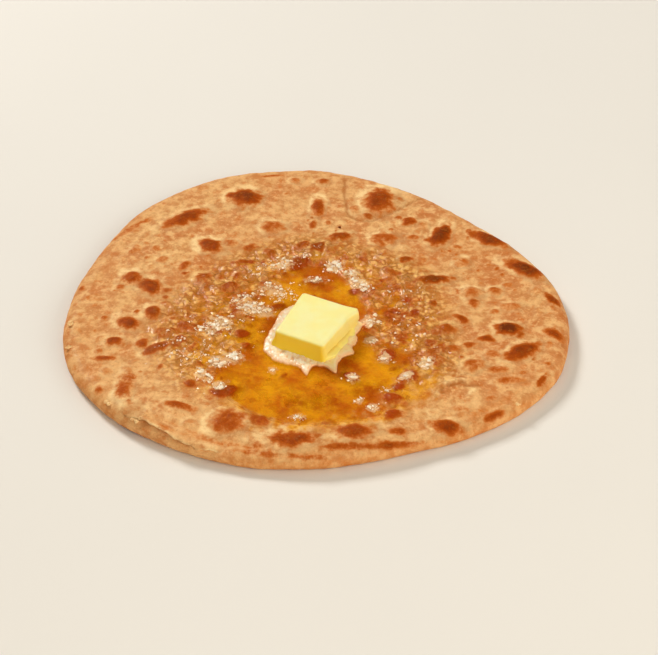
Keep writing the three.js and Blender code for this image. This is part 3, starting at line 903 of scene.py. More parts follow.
def shape_sheet(mesh):
    x, y, out = points_of(mesh).T
    heading = np.arctan2(y, x)
    along = (np.degrees(heading) - SHEET_FROM) / (SHEET_TO - SHEET_FROM)
    top = bread_top(x, y)
    held = 0.85 * ramp(along, 0.02, 0.3) * (1 - ramp(along, 0.4, 0.95))
    frayed = grain(x, y, 2.2, 9.4)
    shown = ramp(along, 0.02, 0.2) * (1 - ramp(along, 0.86, 1))
    curled = FLAKE_LIFT * ramp(out, 0.7, 1) * (1 + 1.5 * frayed)
    lift = FLAKE_BURIED + shown * (FLAKE_RISE * ramp(out, 0.02, 0.3) + curled)
    dough = top["smooth"] + top["relief"] * (1 - 0.3 * ramp(out, 0.7, 1))
    z = dough + lift - shoulder_drop(x, y) * (1 - held)
    move_points(mesh, np.column_stack([x, y, z]))
    for name in DOUGH_FIELDS:
        paint(mesh, name, top[name])
    paint(mesh, "pale", np.maximum(top["pale"], ramp(out, 0.9, 1) * ramp(frayed, -0.5, 0.3)))
    paint(mesh, "streak", top["streak"] * (1 - ramp(out, 0.85, 0.96)))


shape_sheet(sheet_mesh)
print("its points stand up to", points_of(sheet_mesh)[:, 2].max().round(2), "mm high")

# %% [markdown]
# ### Give it a wall and join it
# Solidify gives the open strip a real thickness. It then joins the bread's own mesh, because it is the
# same dough: a bmesh that reads two meshes holds both.

# %% Give it a wall and join it
FLAKE_THICKNESS = 0.5

walled = bmesh.new()
walled.from_mesh(sheet_mesh)
bmesh.ops.solidify(walled, geom=walled.faces, thickness=FLAKE_THICKNESS)
bmesh.ops.recalc_face_normals(walled, faces=walled.faces)
walled.to_mesh(sheet_mesh)
walled.free()

joined = bmesh.new()
joined.from_mesh(bread_mesh)
joined.from_mesh(sheet_mesh)
joined.to_mesh(bread_mesh)
joined.free()
bpy.data.meshes.remove(sheet_mesh)
print("with its torn sheet the bread has", len(bread_mesh.polygons), "faces")

# %% [markdown]
# ## Fitting to the frame
# The outline above is the one the solid was made from, but the solid's origin is the middle of its box.
# The same shift brings every piece here into the frame, and a hair's shrink keeps this finer rim inside
# the faceted one's box.

# %% The shift and the shrink
HAIR = 0.9999

low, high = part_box("paratha")
bread_points = points_of(bread_mesh)
own_low, own_high = bread_points.min(axis=0), bread_points.max(axis=0)
SHRINK = [min(1, HAIR * (high[k] - low[k]) / MM / (own_high[k] - own_low[k])) for k in (0, 1)]
SHIFT = [(high[k] + low[k]) / 2 / MM - SHRINK[k] * (own_high[k] + own_low[k]) / 2 for k in (0, 1)]
print("shrink", np.round(SHRINK, 4), "shift in mm", np.round(SHIFT, 2))

# %% [markdown]
# ### A mesh becomes a piece
# Every piece is finished alike: it goes into the frame in metres, is shaded smooth, rides on the bread's
# body, and hides the solid that it stands for, if it has one. The move is made in the mesh, so that
# the object stays at the origin.

# %% A mesh becomes a piece
def to_frame(mesh):
    """Millimetres in plan to metres in the frame."""
    scale = Matrix.Diagonal((SHRINK[0] * MM, SHRINK[1] * MM, MM, 1))
    mesh.transform(Matrix.Translation((SHIFT[0] * MM, SHIFT[1] * MM, 0)) @ scale)


def add_piece(mesh, name, node=None):
    """A finished mesh as a piece that rides on the bread's body."""
    to_frame(mesh)
    mesh.name = name
    mesh.shade_smooth()
    piece = bpy.data.objects.new(name, mesh)
    bpy.context.scene.collection.objects.link(piece)
    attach(piece, "root")
    if node:
        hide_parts(node)
    triangles = sum(len(face.vertices) - 2 for face in mesh.polygons)
    print(name, "has", triangles, "triangles")
    return piece


bread = add_piece(bread_mesh, "bread", "paratha")

# %% [markdown]
# ## The pool of butter
# The pool is a level sheet that dips under the dough at its shore and climbs a little where it wets a
# blister. A flat disc cut by the dough would be quicker, but it would meet each blister in a hard line.
# This sheet is a fine grid that asks the dough's height at each of its points.

# %% The butter's level
POOL_STEP = 0.85
POOL_LOW, POOL_HIGH = (-66, -86), (56, 42)
CLIMB = 0.12
CLIMB_REACH = 0.18
RIPPLE = 0.03
BURIED = 0.35


def pool_level(x, y):
    """The butter's surface, how deep it stands over the dough, and the dough's own finish."""
    top = bread_top(x, y)
    dough = top["smooth"] + top["relief"]
    level = POOL_LEVEL + RIPPLE * grain(x, y, 5, 1.9)
    climbed = level + CLIMB * np.exp(-np.maximum(level - dough, 0) / CLIMB_REACH)
    return climbed, climbed - dough, top


def pool_sheet():
    """The sheet of butter, and how deep it stands over the dough at each point."""
    cells = [round((POOL_HIGH[k] - POOL_LOW[k]) / POOL_STEP) for k in (0, 1)]
    grid = bmesh.new()
    bmesh.ops.create_grid(grid, x_segments=cells[0], y_segments=cells[1], size=0.5)
    for vertex in grid.verts:
        vertex.co.x = POOL_LOW[0] + (vertex.co.x + 0.5) * (POOL_HIGH[0] - POOL_LOW[0])
        vertex.co.y = POOL_LOW[1] + (vertex.co.y + 0.5) * (POOL_HIGH[1] - POOL_LOW[1])
    mesh = mesh_from(grid, "pool")
    points = points_of(mesh)
    surface, depth, top = pool_level(points[:, 0], points[:, 1])
    points[:, 2] = np.maximum(surface, surface - depth - BURIED)
    move_points(mesh, points)
    for name in DOUGH_FIELDS:
        paint(mesh, name, top[name])
    paint(mesh, "depth", np.clip(depth / FULL_DEPTH, 0, 1))
    return mesh, depth


sheet, butter_depth = pool_sheet()
print("the butter stands up to", butter_depth.max().round(2), "mm deep")

# %% [markdown]
# ### Trim it and give it a depth
# The faces that lie well inside the dough are taken out, and what is left is extruded down with the
# original kept, so that it is a closed body with a real, thin depth and not a sheet of paper.

# %% Trim it and give it a depth
POOL_SKIRT = 5
TRIM_DEPTH = 0.3
POOL_WALL = 1.3


def trimmed_pool(mesh, depth):
    points = points_of(mesh)
    unseen = (depth < -TRIM_DEPTH) | (past_shore(points[:, 0], points[:, 1]) > POOL_SKIRT)
    made = bmesh.new()
    made.from_mesh(mesh)
    buried = [face for face in made.faces if all(unseen[corner.index] for corner in face.verts)]
    bmesh.ops.delete(made, geom=buried, context="FACES")
    bmesh.ops.delete(made, geom=[v for v in made.verts if not v.link_faces], context="VERTS")
    below = bmesh.ops.extrude_face_region(made, geom=made.faces[:], use_keep_orig=True)
    for vertex in below["geom"]:
        if isinstance(vertex, bmesh.types.BMVert):
            vertex.co.z -= POOL_WALL
    bmesh.ops.recalc_face_normals(made, faces=made.faces)
    return made


melted = mesh_from(trimmed_pool(sheet, butter_depth), "melted_butter_dressed")
bpy.data.meshes.remove(sheet)
pool = add_piece(melted, "butter_pool", "melted_butter")

# %% [markdown]
# ## The pat of butter
# A pat is a block cut from a stick, softened by the heat, so that its edges and corners are round. It
# starts as a cube with many cuts. Each point is pulled in to a smaller box and pushed out again by the
# rounding, which rounds every edge alike. A bevel would do that too, but it leaves no points on the
# faces to soften.

# %% A rounded block
PAT_CENTRE = (-1.0, -21.9)
PAT_HEADING = 63.5
PAT_LENGTH = 28.2
PAT_WIDTH = 23.8
PAT_HEIGHT = 9.4
PAT_ROUND = 1.5
PAT_CUTS = 47


def rounded_box(points, half, radius):
    core = np.clip(points, -half + radius, half - radius)
    away = points - core
    length = np.linalg.norm(away, axis=1, keepdims=True)
    return core + away / np.maximum(length, 1e-9) * np.minimum(length, radius)


block = bmesh.new()
bmesh.ops.create_cube(block, size=1)
bmesh.ops.subdivide_edges(block, edges=block.edges, cuts=PAT_CUTS, use_grid_fill=True)
pat_mesh = mesh_from(block, "butter_pat_dressed")
print("the block has", len(pat_mesh.vertices), "points")

# %% [markdown]
# ### Soften it
# Its foot spreads, its corner at the far right is drawn out and cut, and the side towards the right has
# begun to slump into a ledge under a crack. The top sags in the middle, one end is wider than the other,
# and all faces are dented a little by noise. Each step is a rule on x, y and z, in the block's own frame.

# %% Soften it
PAT_SPREAD = 0.06
PAT_TAPER = 0.12
CRACK_HEIGHT = 2.6
CRACK_WIDTH = 0.36
CRACK_INSET = 0.8
LEDGE_REACH = 1.9
LEFT_SLUMP = 1.3
CORNER_CUT = -0.15
TOP_SAG = 0.22


def lean_pat(x, y, z, half):
    """The far right corner drawn out and cut, and the foot spread."""
    far_right = ramp(x, 6, half[0]) * ramp(-y, 6, half[1]) * ramp(z, 1, 7.5)
    x, y = x + 0.7 * far_right, y - 1.75 * far_right
    corner = (x - half[0]) - (y + half[1]) + CORNER_CUT
    cut = np.maximum(0, corner) / 2
    x, y = x - cut, y + cut
    lean = 1 - PAT_SPREAD * z / PAT_HEIGHT
    return x * lean, y * lean


def slump_pat(x, y, z):
    """Where the slumped sides stand, and where the crack and the ledge are."""
    lumps = grain(x + 40, y + z, 6, 2.2)
    slump = ramp(-y, 0.36 * PAT_WIDTH, 0.46 * PAT_WIDTH) * ramp(0.42 * PAT_LENGTH - x, 0, 6)
    slump = slump * ramp(x, -0.47 * PAT_LENGTH, -0.3 * PAT_LENGTH)
    crack_at = CRACK_HEIGHT + 0.5 * lumps - 0.05 * x + 0.5 * grain(x, y * 0.2, 2.2, 9.9)
    ledge = slump * (1 - ramp(z, crack_at - 1.0, crack_at))
    crack = np.exp(-(((z - crack_at) / CRACK_WIDTH) ** 2)) * slump
    y = y - ledge * LEDGE_REACH * (1 + 0.5 * lumps) + CRACK_INSET * crack
    left = ramp(y, 0.3 * PAT_WIDTH, 0.5 * PAT_WIDTH) * (1 - ramp(x, -0.2 * PAT_LENGTH, 0.3 * PAT_LENGTH))
    return y + LEFT_SLUMP * left * (1 - ramp(z, 1.5, 6.5)), crack, ledge


def dent_pat(x, y, z, half):
    """The top sagged, one end widened, and every face dented a little."""
    along, across = np.clip(x / half[0], -1, 1), np.clip(y / half[1], -1, 1)
    sag = TOP_SAG * np.cos(along * 1.5) * np.cos(across * 1.5)
    z = z - sag * ramp(z, 6, PAT_HEIGHT)
    y = y * (1 + PAT_TAPER * x / PAT_LENGTH)
    dent = 0.1 * grain(x, y, 3.2, 5.1) + 0.12 * grain(x, z * 2, 7, 7.7)
    y = y + dent * ramp(np.abs(y), 8, 11)
    x = x + dent * ramp(np.abs(x), 10, 13)
    return x, y, z + 0.05 * grain(x, y, 2.8, 3.3) * ramp(z, 6, 9)


print("the crack runs about", CRACK_HEIGHT, "mm above the pat's foot")

# %% [markdown]
# ### Set it in the pool
# The softened block is turned to its heading and set down with its foot under the butter. Its painted
# fields say where it is a deeper yellow, for melt and for light that passes through it, where the crack is
# and where the ledge lies. The right face, towards the light, gets less of that yellow: a painted highlight.

# %% Set the pat in the pool
PAT_FOOT = 7.12
LIT_SIDE = 0.45


def to_pat_plan(x, y):
    turn = math.radians(PAT_HEADING)
    return (
        PAT_CENTRE[0] + x * math.cos(turn) - y * math.sin(turn),
        PAT_CENTRE[1] + x * math.sin(turn) + y * math.cos(turn),
    )


def shape_pat(mesh):
    half = np.array([PAT_LENGTH, PAT_WIDTH, PAT_HEIGHT]) / 2
    x, y, z = rounded_box(points_of(mesh) * 2 * half, half, PAT_ROUND).T
    z = z + PAT_HEIGHT / 2
    x, y = lean_pat(x, y, z, half)
    y, crack, ledge = slump_pat(x, y, z)
    x, y, z = dent_pat(x, y, z, half)
    plan_x, plan_y = to_pat_plan(x, y)
    move_points(mesh, np.column_stack([plan_x, plan_y, z + PAT_FOOT]))
    # sunny is the right face, which faces the light; it keeps less melt colour, a painted highlight.
    sunny = ramp(-y, 0.38 * PAT_WIDTH, 0.5 * PAT_WIDTH)
    melting = 0.78 * (1 - ramp(z, 8.3, 9.5)) + 0.22 * (1 - ramp(z, 2, 8))
    paint(mesh, "melt", melting * (1 - LIT_SIDE * sunny))
    paint(mesh, "crack", crack)
    paint(mesh, "ledge", ledge)


shape_pat(pat_mesh)
pat = add_piece(pat_mesh, "butter_block", "butter_pat")

# %% [markdown]
# ## The froth round the pat
# Melting butter foams: milk solids and water boil off in a pale ring of tiny bubbles that spreads in
# tongues. First two distances from the pat's middle are needed at any heading: to the pat's own foot,
# where the froth begins, and to the froth's edge, a closed curve like the pool's shore.

# %% How far the froth runs
FROTH_EDGE = [
    (17.6, -14.2), (8, -8), (-4, -2.2), (-8.5, -2.6), (-12.5, -5.5), (-15.3, -9.5),
    (-17.4, -16.3), (-20.4, -25), (-20.8, -30), (-18.6, -34.3), (-14.8, -38), (-10.5, -39.4),
    (-6.8, -40.8), (-5.5, -43.4), (-3.8, -45.6), (-3.0, -43.2), (-1.2, -40.2), (2.8, -40.6),
    (7.2, -43.9), (8.2, -38.2), (10.6, -34.8), (14.2, -32.4), (13.9, -28.6), (15.8, -25.2),
    (15.6, -21), (17.4, -17.4),
]
EDGE_STEPS = 6


def froth_edge(heading):
    """The distance from the pat's middle to the froth's edge at a heading in radians."""
    curve = closed_curve(FROTH_EDGE, EDGE_STEPS) - np.array(PAT_CENTRE)
    headings = np.arctan2(curve[:, 1], curve[:, 0])
    order = np.argsort(headings)
    reach = np.hypot(curve[:, 0], curve[:, 1])
    return np.interp(heading, headings[order], reach[order], period=2 * math.pi)


def pat_edge(heading):
    """The distance from the pat's middle to its foot at a heading in radians."""
    turn = heading - math.radians(PAT_HEADING)
    across = np.abs(np.sin(turn)) / (PAT_WIDTH / 2 * (1 + PAT_TAPER / 2 * np.cos(turn)))
    return 1 / np.maximum(np.abs(np.cos(turn)) / (PAT_LENGTH / 2), across)


print("the froth runs up to", (froth_edge(turns) - pat_edge(turns)).max().round(1), "mm from the pat")

# %% [markdown]
# ### The froth ring
# The ring is a closed section spun once, then pushed out by how far the froth runs at each heading. Its
# top is a crowd of bubbles, made with the same cell noise as the fried dough, with bare spots between.

# %% The froth ring
FROTH_AROUND = 420
FROTH_ACROSS = 20


def froth_ring():
    ring = bmesh.new()
    over = [(i / FROTH_ACROSS, 1) for i in range(FROTH_ACROSS + 1)]
    line = [ring.verts.new((1 + share, 0, level)) for share, level in over + [(1, 0), (0, 0)]]
    edges = [ring.edges.new(pair) for pair in zip(line, line[1:] + line[:1])]
    full_spin(ring, line, edges, FROTH_AROUND)
    bmesh.ops.recalc_face_normals(ring, faces=ring.faces)
    return ring


froth_mesh = mesh_from(froth_ring(), "butter_froth_dressed")
print("the ring has", len(froth_mesh.vertices), "points")

# %% [markdown]
# ### Shape the froth
# The froth tucks under the pat, so that no gap shows. Its height falls to nothing at its edge, and it is
# thin there, and yellower beside the slumped side of the pat, which the painted fields say.

# %% Shape the froth
FROTH_TUCK = 2.2
FROTH_LEAST = 0.4
FROTH_HEIGHT = 1.1
SMALL_BUBBLE = 0.16
BIG_BUBBLE = 0.2
BARE_DROP = 0.3
WOBBLE_RADIUS = 14


def shape_froth(mesh):
    ring = points_of(mesh)
    heading = np.arctan2(ring[:, 1], ring[:, 0])
    across = np.hypot(ring[:, 0], ring[:, 1]) - 1
    inner = pat_edge(heading) - FROTH_TUCK
    ring_x, ring_y = WOBBLE_RADIUS * np.cos(heading), WOBBLE_RADIUS * np.sin(heading)
    wobble = 0.45 * grain(ring_x, ring_y, 1.6, 4.4) + 0.4 * grain(ring_x, ring_y, 0.7, 1.4)
    outer = np.maximum(froth_edge(heading) + wobble, inner + FROTH_TUCK + FROTH_LEAST)
    radius = inner + across * (outer - inner)
    x = PAT_CENTRE[0] + radius * np.cos(heading)
    y = PAT_CENTRE[1] + radius * np.sin(heading)
    dome = np.sqrt(np.clip(1 - across**3, 0, 1))
    mound = 0.7 + 0.45 * grain(x, y, 4, 7.1)
    bared = ramp(grain(x, y, 0.9, 2.4), 0.25, 0.5)
    foam = SMALL_BUBBLE * bubbles(x, y, 0.8, 1.5) + BIG_BUBBLE * bubbles(x, y, 1.7, 6.5)
    rise = FROTH_HEIGHT * dome * mound + dome * (foam - BARE_DROP * bared)
    z = np.where(ring[:, 2] > 0.5, POOL_LEVEL - 0.1 + rise, POOL_LEVEL - 0.5)
    move_points(mesh, np.column_stack([x, y, z]))
    degrees = np.degrees(heading)
    creamy = ramp(degrees, -104, -70) * (1 - ramp(degrees, 20, 60))
    paint(mesh, "thin", np.maximum(ramp(across, 0.7, 1), 0.75 * bared))
    paint(mesh, "creamy", creamy * (1 - 0.5 * ramp(across, 0.5, 0.95)))


shape_froth(froth_mesh)
froth = add_piece(froth_mesh, "froth_ring", "butter_froth")

# %% [markdown]
# ## Flecks of froth
# Where the butter sizzled on the dough it left scattered flecks of froth, thickest to the left of the
# pat and behind it. A fleck is a clump, one wide lump with smaller ones about it. Scattering could be
# left to geometry nodes, but a few draws from the patches' own table put it where the film is too.

# %% Where the flecks lie
CLUMP_LUMPS = 6
CLEARANCE = 1.2


def scattered(patches):
    """Clumps of froth as rows of a place and a size: one wide lump and small ones about it."""
    rows = []
    for middle_x, middle_y, length, width, heading, count, size in patches:
        turn = math.radians(heading)
        is_main = np.tile(np.arange(CLUMP_LUMPS) == 0, count)
        spread = np.where(is_main, 0, 0.7 * size)
        along = np.repeat(draw.normal(0, length * 0.34, count), CLUMP_LUMPS)
        across = np.repeat(draw.normal(0, width * 0.34, count), CLUMP_LUMPS)
        along = along + spread * draw.normal(0, 1, along.size)
        across = across + spread * draw.normal(0, 0.8, across.size)
        x = middle_x + along * math.cos(turn) - across * math.sin(turn)
        y = middle_y + along * math.sin(turn) + across * math.cos(turn)
        shares = np.where(is_main, between(0.4, 1.25, x.size), between(0.12, 0.45, x.size))
        rows.append(np.column_stack([x, y, size * shares]))
    return np.vstack(rows)


def clear_of_pat(points):
    from_x, from_y = points[:, 0] - PAT_CENTRE[0], points[:, 1] - PAT_CENTRE[1]
    return points[np.hypot(from_x, from_y) > pat_edge(np.arctan2(from_y, from_x)) + CLEARANCE]


fleck_places = clear_of_pat(scattered(PATCHES))
print(len(fleck_places), "lumps of froth")

# %% [markdown]
# ### Many copies of one lump
# An array modifier makes all the copies as one mesh, so that no fleck is a loose object. Each lump rests
# on the butter inside the shore and on the dough elsewhere.

# %% Many copies of one lump
def copies(made, count):
    """One mesh of many copies of a small one: an array with no offset, made real."""
    holder = bpy.data.objects.new("one", mesh_from(made, "one"))
    bpy.context.scene.collection.objects.link(holder)
    array = holder.modifiers.new("many", "ARRAY")
    array.use_relative_offset = False
    array.count = count
    many = bpy.data.meshes.new_from_object(holder.evaluated_get(bpy.context.evaluated_depsgraph_get()))
    bpy.data.meshes.remove(holder.data)
    return many


def resting_height(x, y):
    surface, depth, top = pool_level(x, y)
    in_pool = (depth > 0) & (past_shore(x, y) < POOL_SKIRT)
    return np.where(in_pool, surface, surface - depth - shoulder_drop(x, y))


fleck_heights = resting_height(fleck_places[:, 0], fleck_places[:, 1])
print("the flecks rest", fleck_heights.min().round(1), "to", fleck_heights.max().round(1), "mm up")

# %% [markdown]
# ### Squash the lumps and set them down
# A lump is a sphere of few faces, stretched one way, squashed, sunk a little and roughened by noise,
# which is cheaper than modelling several kinds. It is thin, and so tan, near its foot.

# %% Squash the lumps and set them down
ROUGH_LUMP = 1.7


def lumps_mesh(places, flatness, sink, roughness, detail=2):
    """Small lumps, each a sphere squashed by flatness and sunk by a share of its height."""
    count = len(places)
    ball = bmesh.new()
    bmesh.ops.create_icosphere(ball, subdivisions=detail, radius=0.5)
    mesh = copies(ball, count)
    balls = points_of(mesh).reshape(count, -1, 3)
    heading = draw.uniform(0, math.pi, (count, 1))
    stretch = draw.uniform(0.75, 1.35, (count, 1))
    size = places[:, 2:3]
    long, wide = balls[:, :, 0] * stretch * size, balls[:, :, 1] / stretch * size
    x = places[:, 0:1] + long * np.cos(heading) - wide * np.sin(heading)
    y = places[:, 1:2] + long * np.sin(heading) + wide * np.cos(heading)
    above = flatness * size * (balls[:, :, 2] + 0.5 - sink)
    z = resting_height(places[:, 0], places[:, 1])[:, None] + above
    points = np.stack([x, y, z], axis=2).reshape(-1, 3)
    rough = [noise.noise_vector(point * ROUGH_LUMP) for point in map(Vector, points)]
    move_points(mesh, points + roughness * np.array(rough))
    paint(mesh, "thin", 1 - ramp((balls[:, :, 2] + 0.5).ravel(), 0.45, 0.9))
    return mesh


fleck_mesh = lumps_mesh(fleck_places, flatness=0.2, sink=0.3, roughness=0.4)
flecks = add_piece(fleck_mesh, "froth_flecks")

# %% [markdown]
# ## Crumbs
# A few dry crumbs and flakes of dough cling to the rim, most by the torn sheet. They are lumps as well,
# thicker and rougher than the froth and with more faces, because they stand alone and can be seen from
# close by. Any that would lie past the rim is drawn in to it.

# %% Crumbs at the rim
# Middle x and y, size and brownness
CRUMBS = [
    (-97.2, -14.3, 2.7, 0.0),
    (-98.3, -27.6, 2.2, 0.0),
    (-81.2, -60.7, 2.1, 0.1),
    (-81.6, -62.7, 1.8, 0.0),
    (-69.9, -70.0, 1.7, 0.1),
    (-68.4, -70.7, 2.2, 0.0),
    (-66.9, -70.0, 1.5, 0.1),
    (-65.5, -69.1, 2.0, 0.0),
    (-64.7, -68.0, 1.4, 0.1),
    (79, -62, 1.5, 0.0),
    (9.1, 46.8, 1.2, 1.6),
]
CRUMB_SHARE = 0.98
CRUMB_PALLOR = 0.8


def crumbs_mesh():
    places = np.array(CRUMBS, float)
    x, y = places[:, 0], places[:, 1]
    pull = np.minimum(1, CRUMB_SHARE * rim_radius(np.arctan2(y, x)) / np.hypot(x, y))
    places[:, 0], places[:, 1] = x * pull, y * pull
    mesh = lumps_mesh(places, flatness=0.5, sink=0.12, roughness=0.5, detail=3)
    each = len(mesh.vertices) // len(places)
    paint(mesh, "toast", np.repeat(places[:, 3], each))
    paint(mesh, "pale", np.repeat(np.where(places[:, 3] < 0.5, CRUMB_PALLOR, 0), each))
    return mesh


crumbs = add_piece(crumbs_mesh(), "rim_crumbs")

# %% [markdown]
# ## Finishes
# Each finish is a small tree of nodes. They could be wired by hand in the shader editor, but a tree
# written as text can be read and repeated. The helpers keep the trees short: one adds a node and fills
# its sockets with numbers or links, others mix two colours, do one sum or read a painted field. A colour
# is written as it looks on a screen and turned into the light that it stands for.

# %% Nodes and colours
def fill(tree, made, inputs):
    """Fills a node's sockets, each with a value or with a link from another node."""
    for key, value in inputs.items():
        if isinstance(value, bpy.types.NodeSocket):
            tree.links.new(value, made.inputs[key])
        else:
            made.inputs[key].default_value = value


def node(tree, kind, inputs=None, **settings):
    made = tree.nodes.new("ShaderNode" + kind)
    for key, value in settings.items():
        setattr(made, key, value)
    fill(tree, made, inputs or {})
    return made


def colour(red, green, blue):
    shares = [value / 255 for value in (red, green, blue)]
    return [s / 12.92 if s <= 0.04045 else ((s + 0.055) / 1.055) ** 2.4 for s in shares] + [1]


print("a warm tan as light:", [round(share, 3) for share in colour(234, 189, 127)])

# %% [markdown]
# ### Sums, mixes and noises
# These few kinds of node make every finish here. A span turns a value into a soft step between two
# bounds, the same soft step as the ramp that shapes the dough, and a layer lays one tint over another
# where its span says so.

# %% Sums, mixes and noises
def mix(tree, share, first, second, how="MIX"):
    return node(tree, "Mix", {0: share, 6: first, 7: second}, data_type="RGBA", blend_type=how).outputs[2]


def maths(tree, how, first, second):
    return node(tree, "Math", {0: first, 1: second}, operation=how).outputs[0]


def times(tree, first, second):
    return maths(tree, "MULTIPLY", first, second)


def plus(tree, first, second):
    return maths(tree, "ADD", first, second)


def less(tree, first, second):
    return maths(tree, "SUBTRACT", first, second)


def field(tree, name):
    return node(tree, "Attribute", attribute_name=name).outputs["Fac"]


def fuzz(tree, place, scale, detail=3.0, rough=0.55):
    inputs = {"Vector": place, "Scale": scale, "Detail": detail, "Roughness": rough}
    return node(tree, "TexNoise", inputs).outputs["Fac"]


def span(tree, value, low, high, to_low=0.0, to_high=1.0):
    inputs = {0: value, 1: low, 2: high, 3: to_low, 4: to_high}
    return node(tree, "MapRange", inputs, interpolation_type="SMOOTHSTEP").outputs[0]


def layered(tree, base, layers):
    """Lays tints over a base, each where its value goes from low to high, as strongly as its share."""
    for value, low, high, share, tint in layers:
        base = mix(tree, span(tree, value, low, high, 0, share), base, colour(*tint))
    return base


def bump(tree, height, distance=0.001, strength=1.0):
    """The slope that a height gives the surface: at full strength, a height of 1 is distance metres."""
    inputs = {"Strength": strength, "Distance": distance, "Height": height}
    return node(tree, "Bump", inputs).outputs[0]


print("made the helpers mix, times, plus, less, field, fuzz, span, layered and bump")

# %% [markdown]
# ### A finish and the pieces that wear it
# A finish starts as one principled shader with its output. Its patterns read object coordinates, which
# are metres from the bread's middle. Generated coordinates would stretch with each piece's own box, so
# that the dough's patterns would not run on from the bread into its crumbs.

# %% A finish and the pieces that wear it
def new_finish(name):
    material = bpy.data.materials.new(name)
    material.use_nodes = True
    tree = material.node_tree
    tree.nodes.clear()
    shader = node(tree, "BsdfPrincipled")
    node(tree, "OutputMaterial", {"Surface": shader.outputs[0]})
    return material, tree, shader, node(tree, "TexCoord").outputs["Object"]


def dress(material, *pieces):
    for piece in pieces:
        piece.data.materials.clear()
        piece.data.materials.append(material)
    print(material.name, "has", len(material.node_tree.nodes), "nodes")


print("made the helpers new_finish and dress")

# %% [markdown]
# ## The crust's finish
# Griddled dough is a warm tan, mottled with gold and a duller brown, with a flour-fine grain. One painted
# picture of it could be laid on, but it would blur close by and could not follow the blisters. Here the
# painted fields say where the dough is browned, pale or given a painted highlight, streaked, soaked,
# frothy and under butter, and where shade is painted into folds and blister flanks, and noises of several
# sizes break them up, finer than the mesh could hold them.

# %% The dough's noises
DARKER_TO_THE_RIGHT = 0.4
EDGE_PALING = 16.0


def dough_noises(tree, place):
    """The noises that the layers share, from wide patches to fine grain."""
    rightwards, backwards, above = node(tree, "SeparateXYZ", {0: place}).outputs
    # The patches grow darker towards the right and paler towards the front and back.
    patchy = plus(tree, fuzz(tree, place, 85, 4, 0.6), times(tree, rightwards, DARKER_TO_THE_RIGHT))
    off_middle = times(tree, times(tree, backwards, backwards), EDGE_PALING)
    return SimpleNamespace(
        above=above,
        patchy=less(tree, patchy, off_middle),
        middling=fuzz(tree, place, 230, 3, 0.6),
        freckles=fuzz(tree, place, 330, 3, 0.6),
        flecks=fuzz(tree, place, 640, 3, 0.55),
        fine=fuzz(tree, place, 1700, 2, 0.6),
    )


print("at the right rim the patches are raised by", round(DARKER_TO_THE_RIGHT * BREAD_RADIUS * MM, 3))

# %% [markdown]
# ### Dry and browned dough
# The dry dough is a pale tan under six layers, each a tint that one noise lays on: brown patches, pale
# clouds, freckles, flour, specks, and a warmer tan low on the rim. Browning is the painted toast and the
# rim's streaks, with noise added before it picks a colour, so that the edges of the spots are ragged.

# %% Dry and browned dough
PALLOR_AND_HIGHLIGHT_TINT = colour(255, 220, 160)
TOASTED = [
    (0.08, (228, 154, 86)),
    (0.25, (212, 122, 44)),
    (0.45, (192, 94, 22)),
    (0.7, (162, 68, 4)),
    (1.0, (112, 48, 10)),
]


def dry_dough(tree, grains):
    dough = layered(tree, colour(234, 189, 127), [
        (grains.patchy, 0.36, 0.64, 1, (206, 134, 80)),
        (grains.middling, 0.47, 0.64, 0.5, (186, 110, 56)),
        (grains.middling, 0.52, 0.36, 0.72, (255, 214, 150)),
        (grains.freckles, 0.53, 0.7, 0.58, (206, 112, 42)),
        (grains.flecks, 0.54, 0.7, 0.56, (255, 218, 152)),
        (grains.flecks, 0.44, 0.26, 0.42, (172, 100, 34)),
        (grains.above, 0.0105, 0.007, 0.4, (208, 122, 58)),
    ])
    # The pale field holds pale rims and ridges and the painted highlight on blisters' lit flanks.
    pallor_and_highlight = times(tree, field(tree, "pale"), span(tree, grains.middling, 0.64, 0.42, 0.35, 1.0))
    return mix(tree, pallor_and_highlight, dough, PALLOR_AND_HIGHLIGHT_TINT)


def browning(tree, grains):
    """How brown the dough is, ragged by noise: 0 for dry dough, 1 for a dark spot."""
    ragged = plus(tree, times(tree, grains.middling, 0.5), times(tree, grains.flecks, 0.45))
    ragged = less(tree, ragged, 0.475)
    browned = maths(tree, "MAXIMUM", field(tree, "toast"), times(tree, field(tree, "streak"), 0.36))
    return plus(tree, browned, times(tree, ragged, span(tree, browned, 0.02, 0.4, 0, 1.4)))


def baked_dough(tree, grains, browned):
    made = node(tree, "ValToRGB", {0: browned})
    stops = made.color_ramp.elements
    while len(stops) < len(TOASTED):
        stops.new(0.5)
    for stop, (place, tint) in zip(stops, TOASTED):
        stop.position = place
        stop.color = colour(*tint)
    toasted = layered(tree, made.outputs[0], [(grains.flecks, 0.5, 0.7, 0.36, (210, 118, 38))])
    return mix(tree, span(tree, browned, 0.02, 0.6), dry_dough(tree, grains), toasted)


print(len(TOASTED), "stops from golden to dark brown")

# %% [markdown]
# ### Soaked and fried dough
# Round the pool the dough is soaked, so it is deeper and yellower: its colour is multiplied, not covered.
# Where the butter fried it, small domes rise. Their valleys hold dark butter, and a pale painted highlight
# tops them.
# A thin film of froth lies over both in shreds, which two noises tear out of its painted field.

# %% Soaked and fried dough
OIL_TINT = colour(246, 204, 98)
VALLEY_TINT = colour(178, 104, 0)
KNOB_HIGHLIGHT_TINT = colour(255, 206, 120)
FILM_TINT = colour(252, 220, 172)
DOME_SCALE = 400
BEAD_SCALE = 950


def bubble_domes(tree, place, scale):
    """Round domes side by side, 1 at each one's middle."""
    swirl = node(tree, "TexNoise", {"Vector": place, "Scale": 300.0, "Detail": 2.0}).outputs["Color"]
    bend = {0: swirl, 1: (0.005, 0.005, 0.005), 2: place}
    moved = node(tree, "VectorMath", bend, operation="MULTIPLY_ADD").outputs[0]
    inputs = {"Vector": moved, "Scale": scale, "Smoothness": 0.35}
    away = node(tree, "TexVoronoi", inputs, feature="SMOOTH_F1").outputs["Distance"]
    return less(tree, 1.0, times(tree, times(tree, away, away), 1.9))


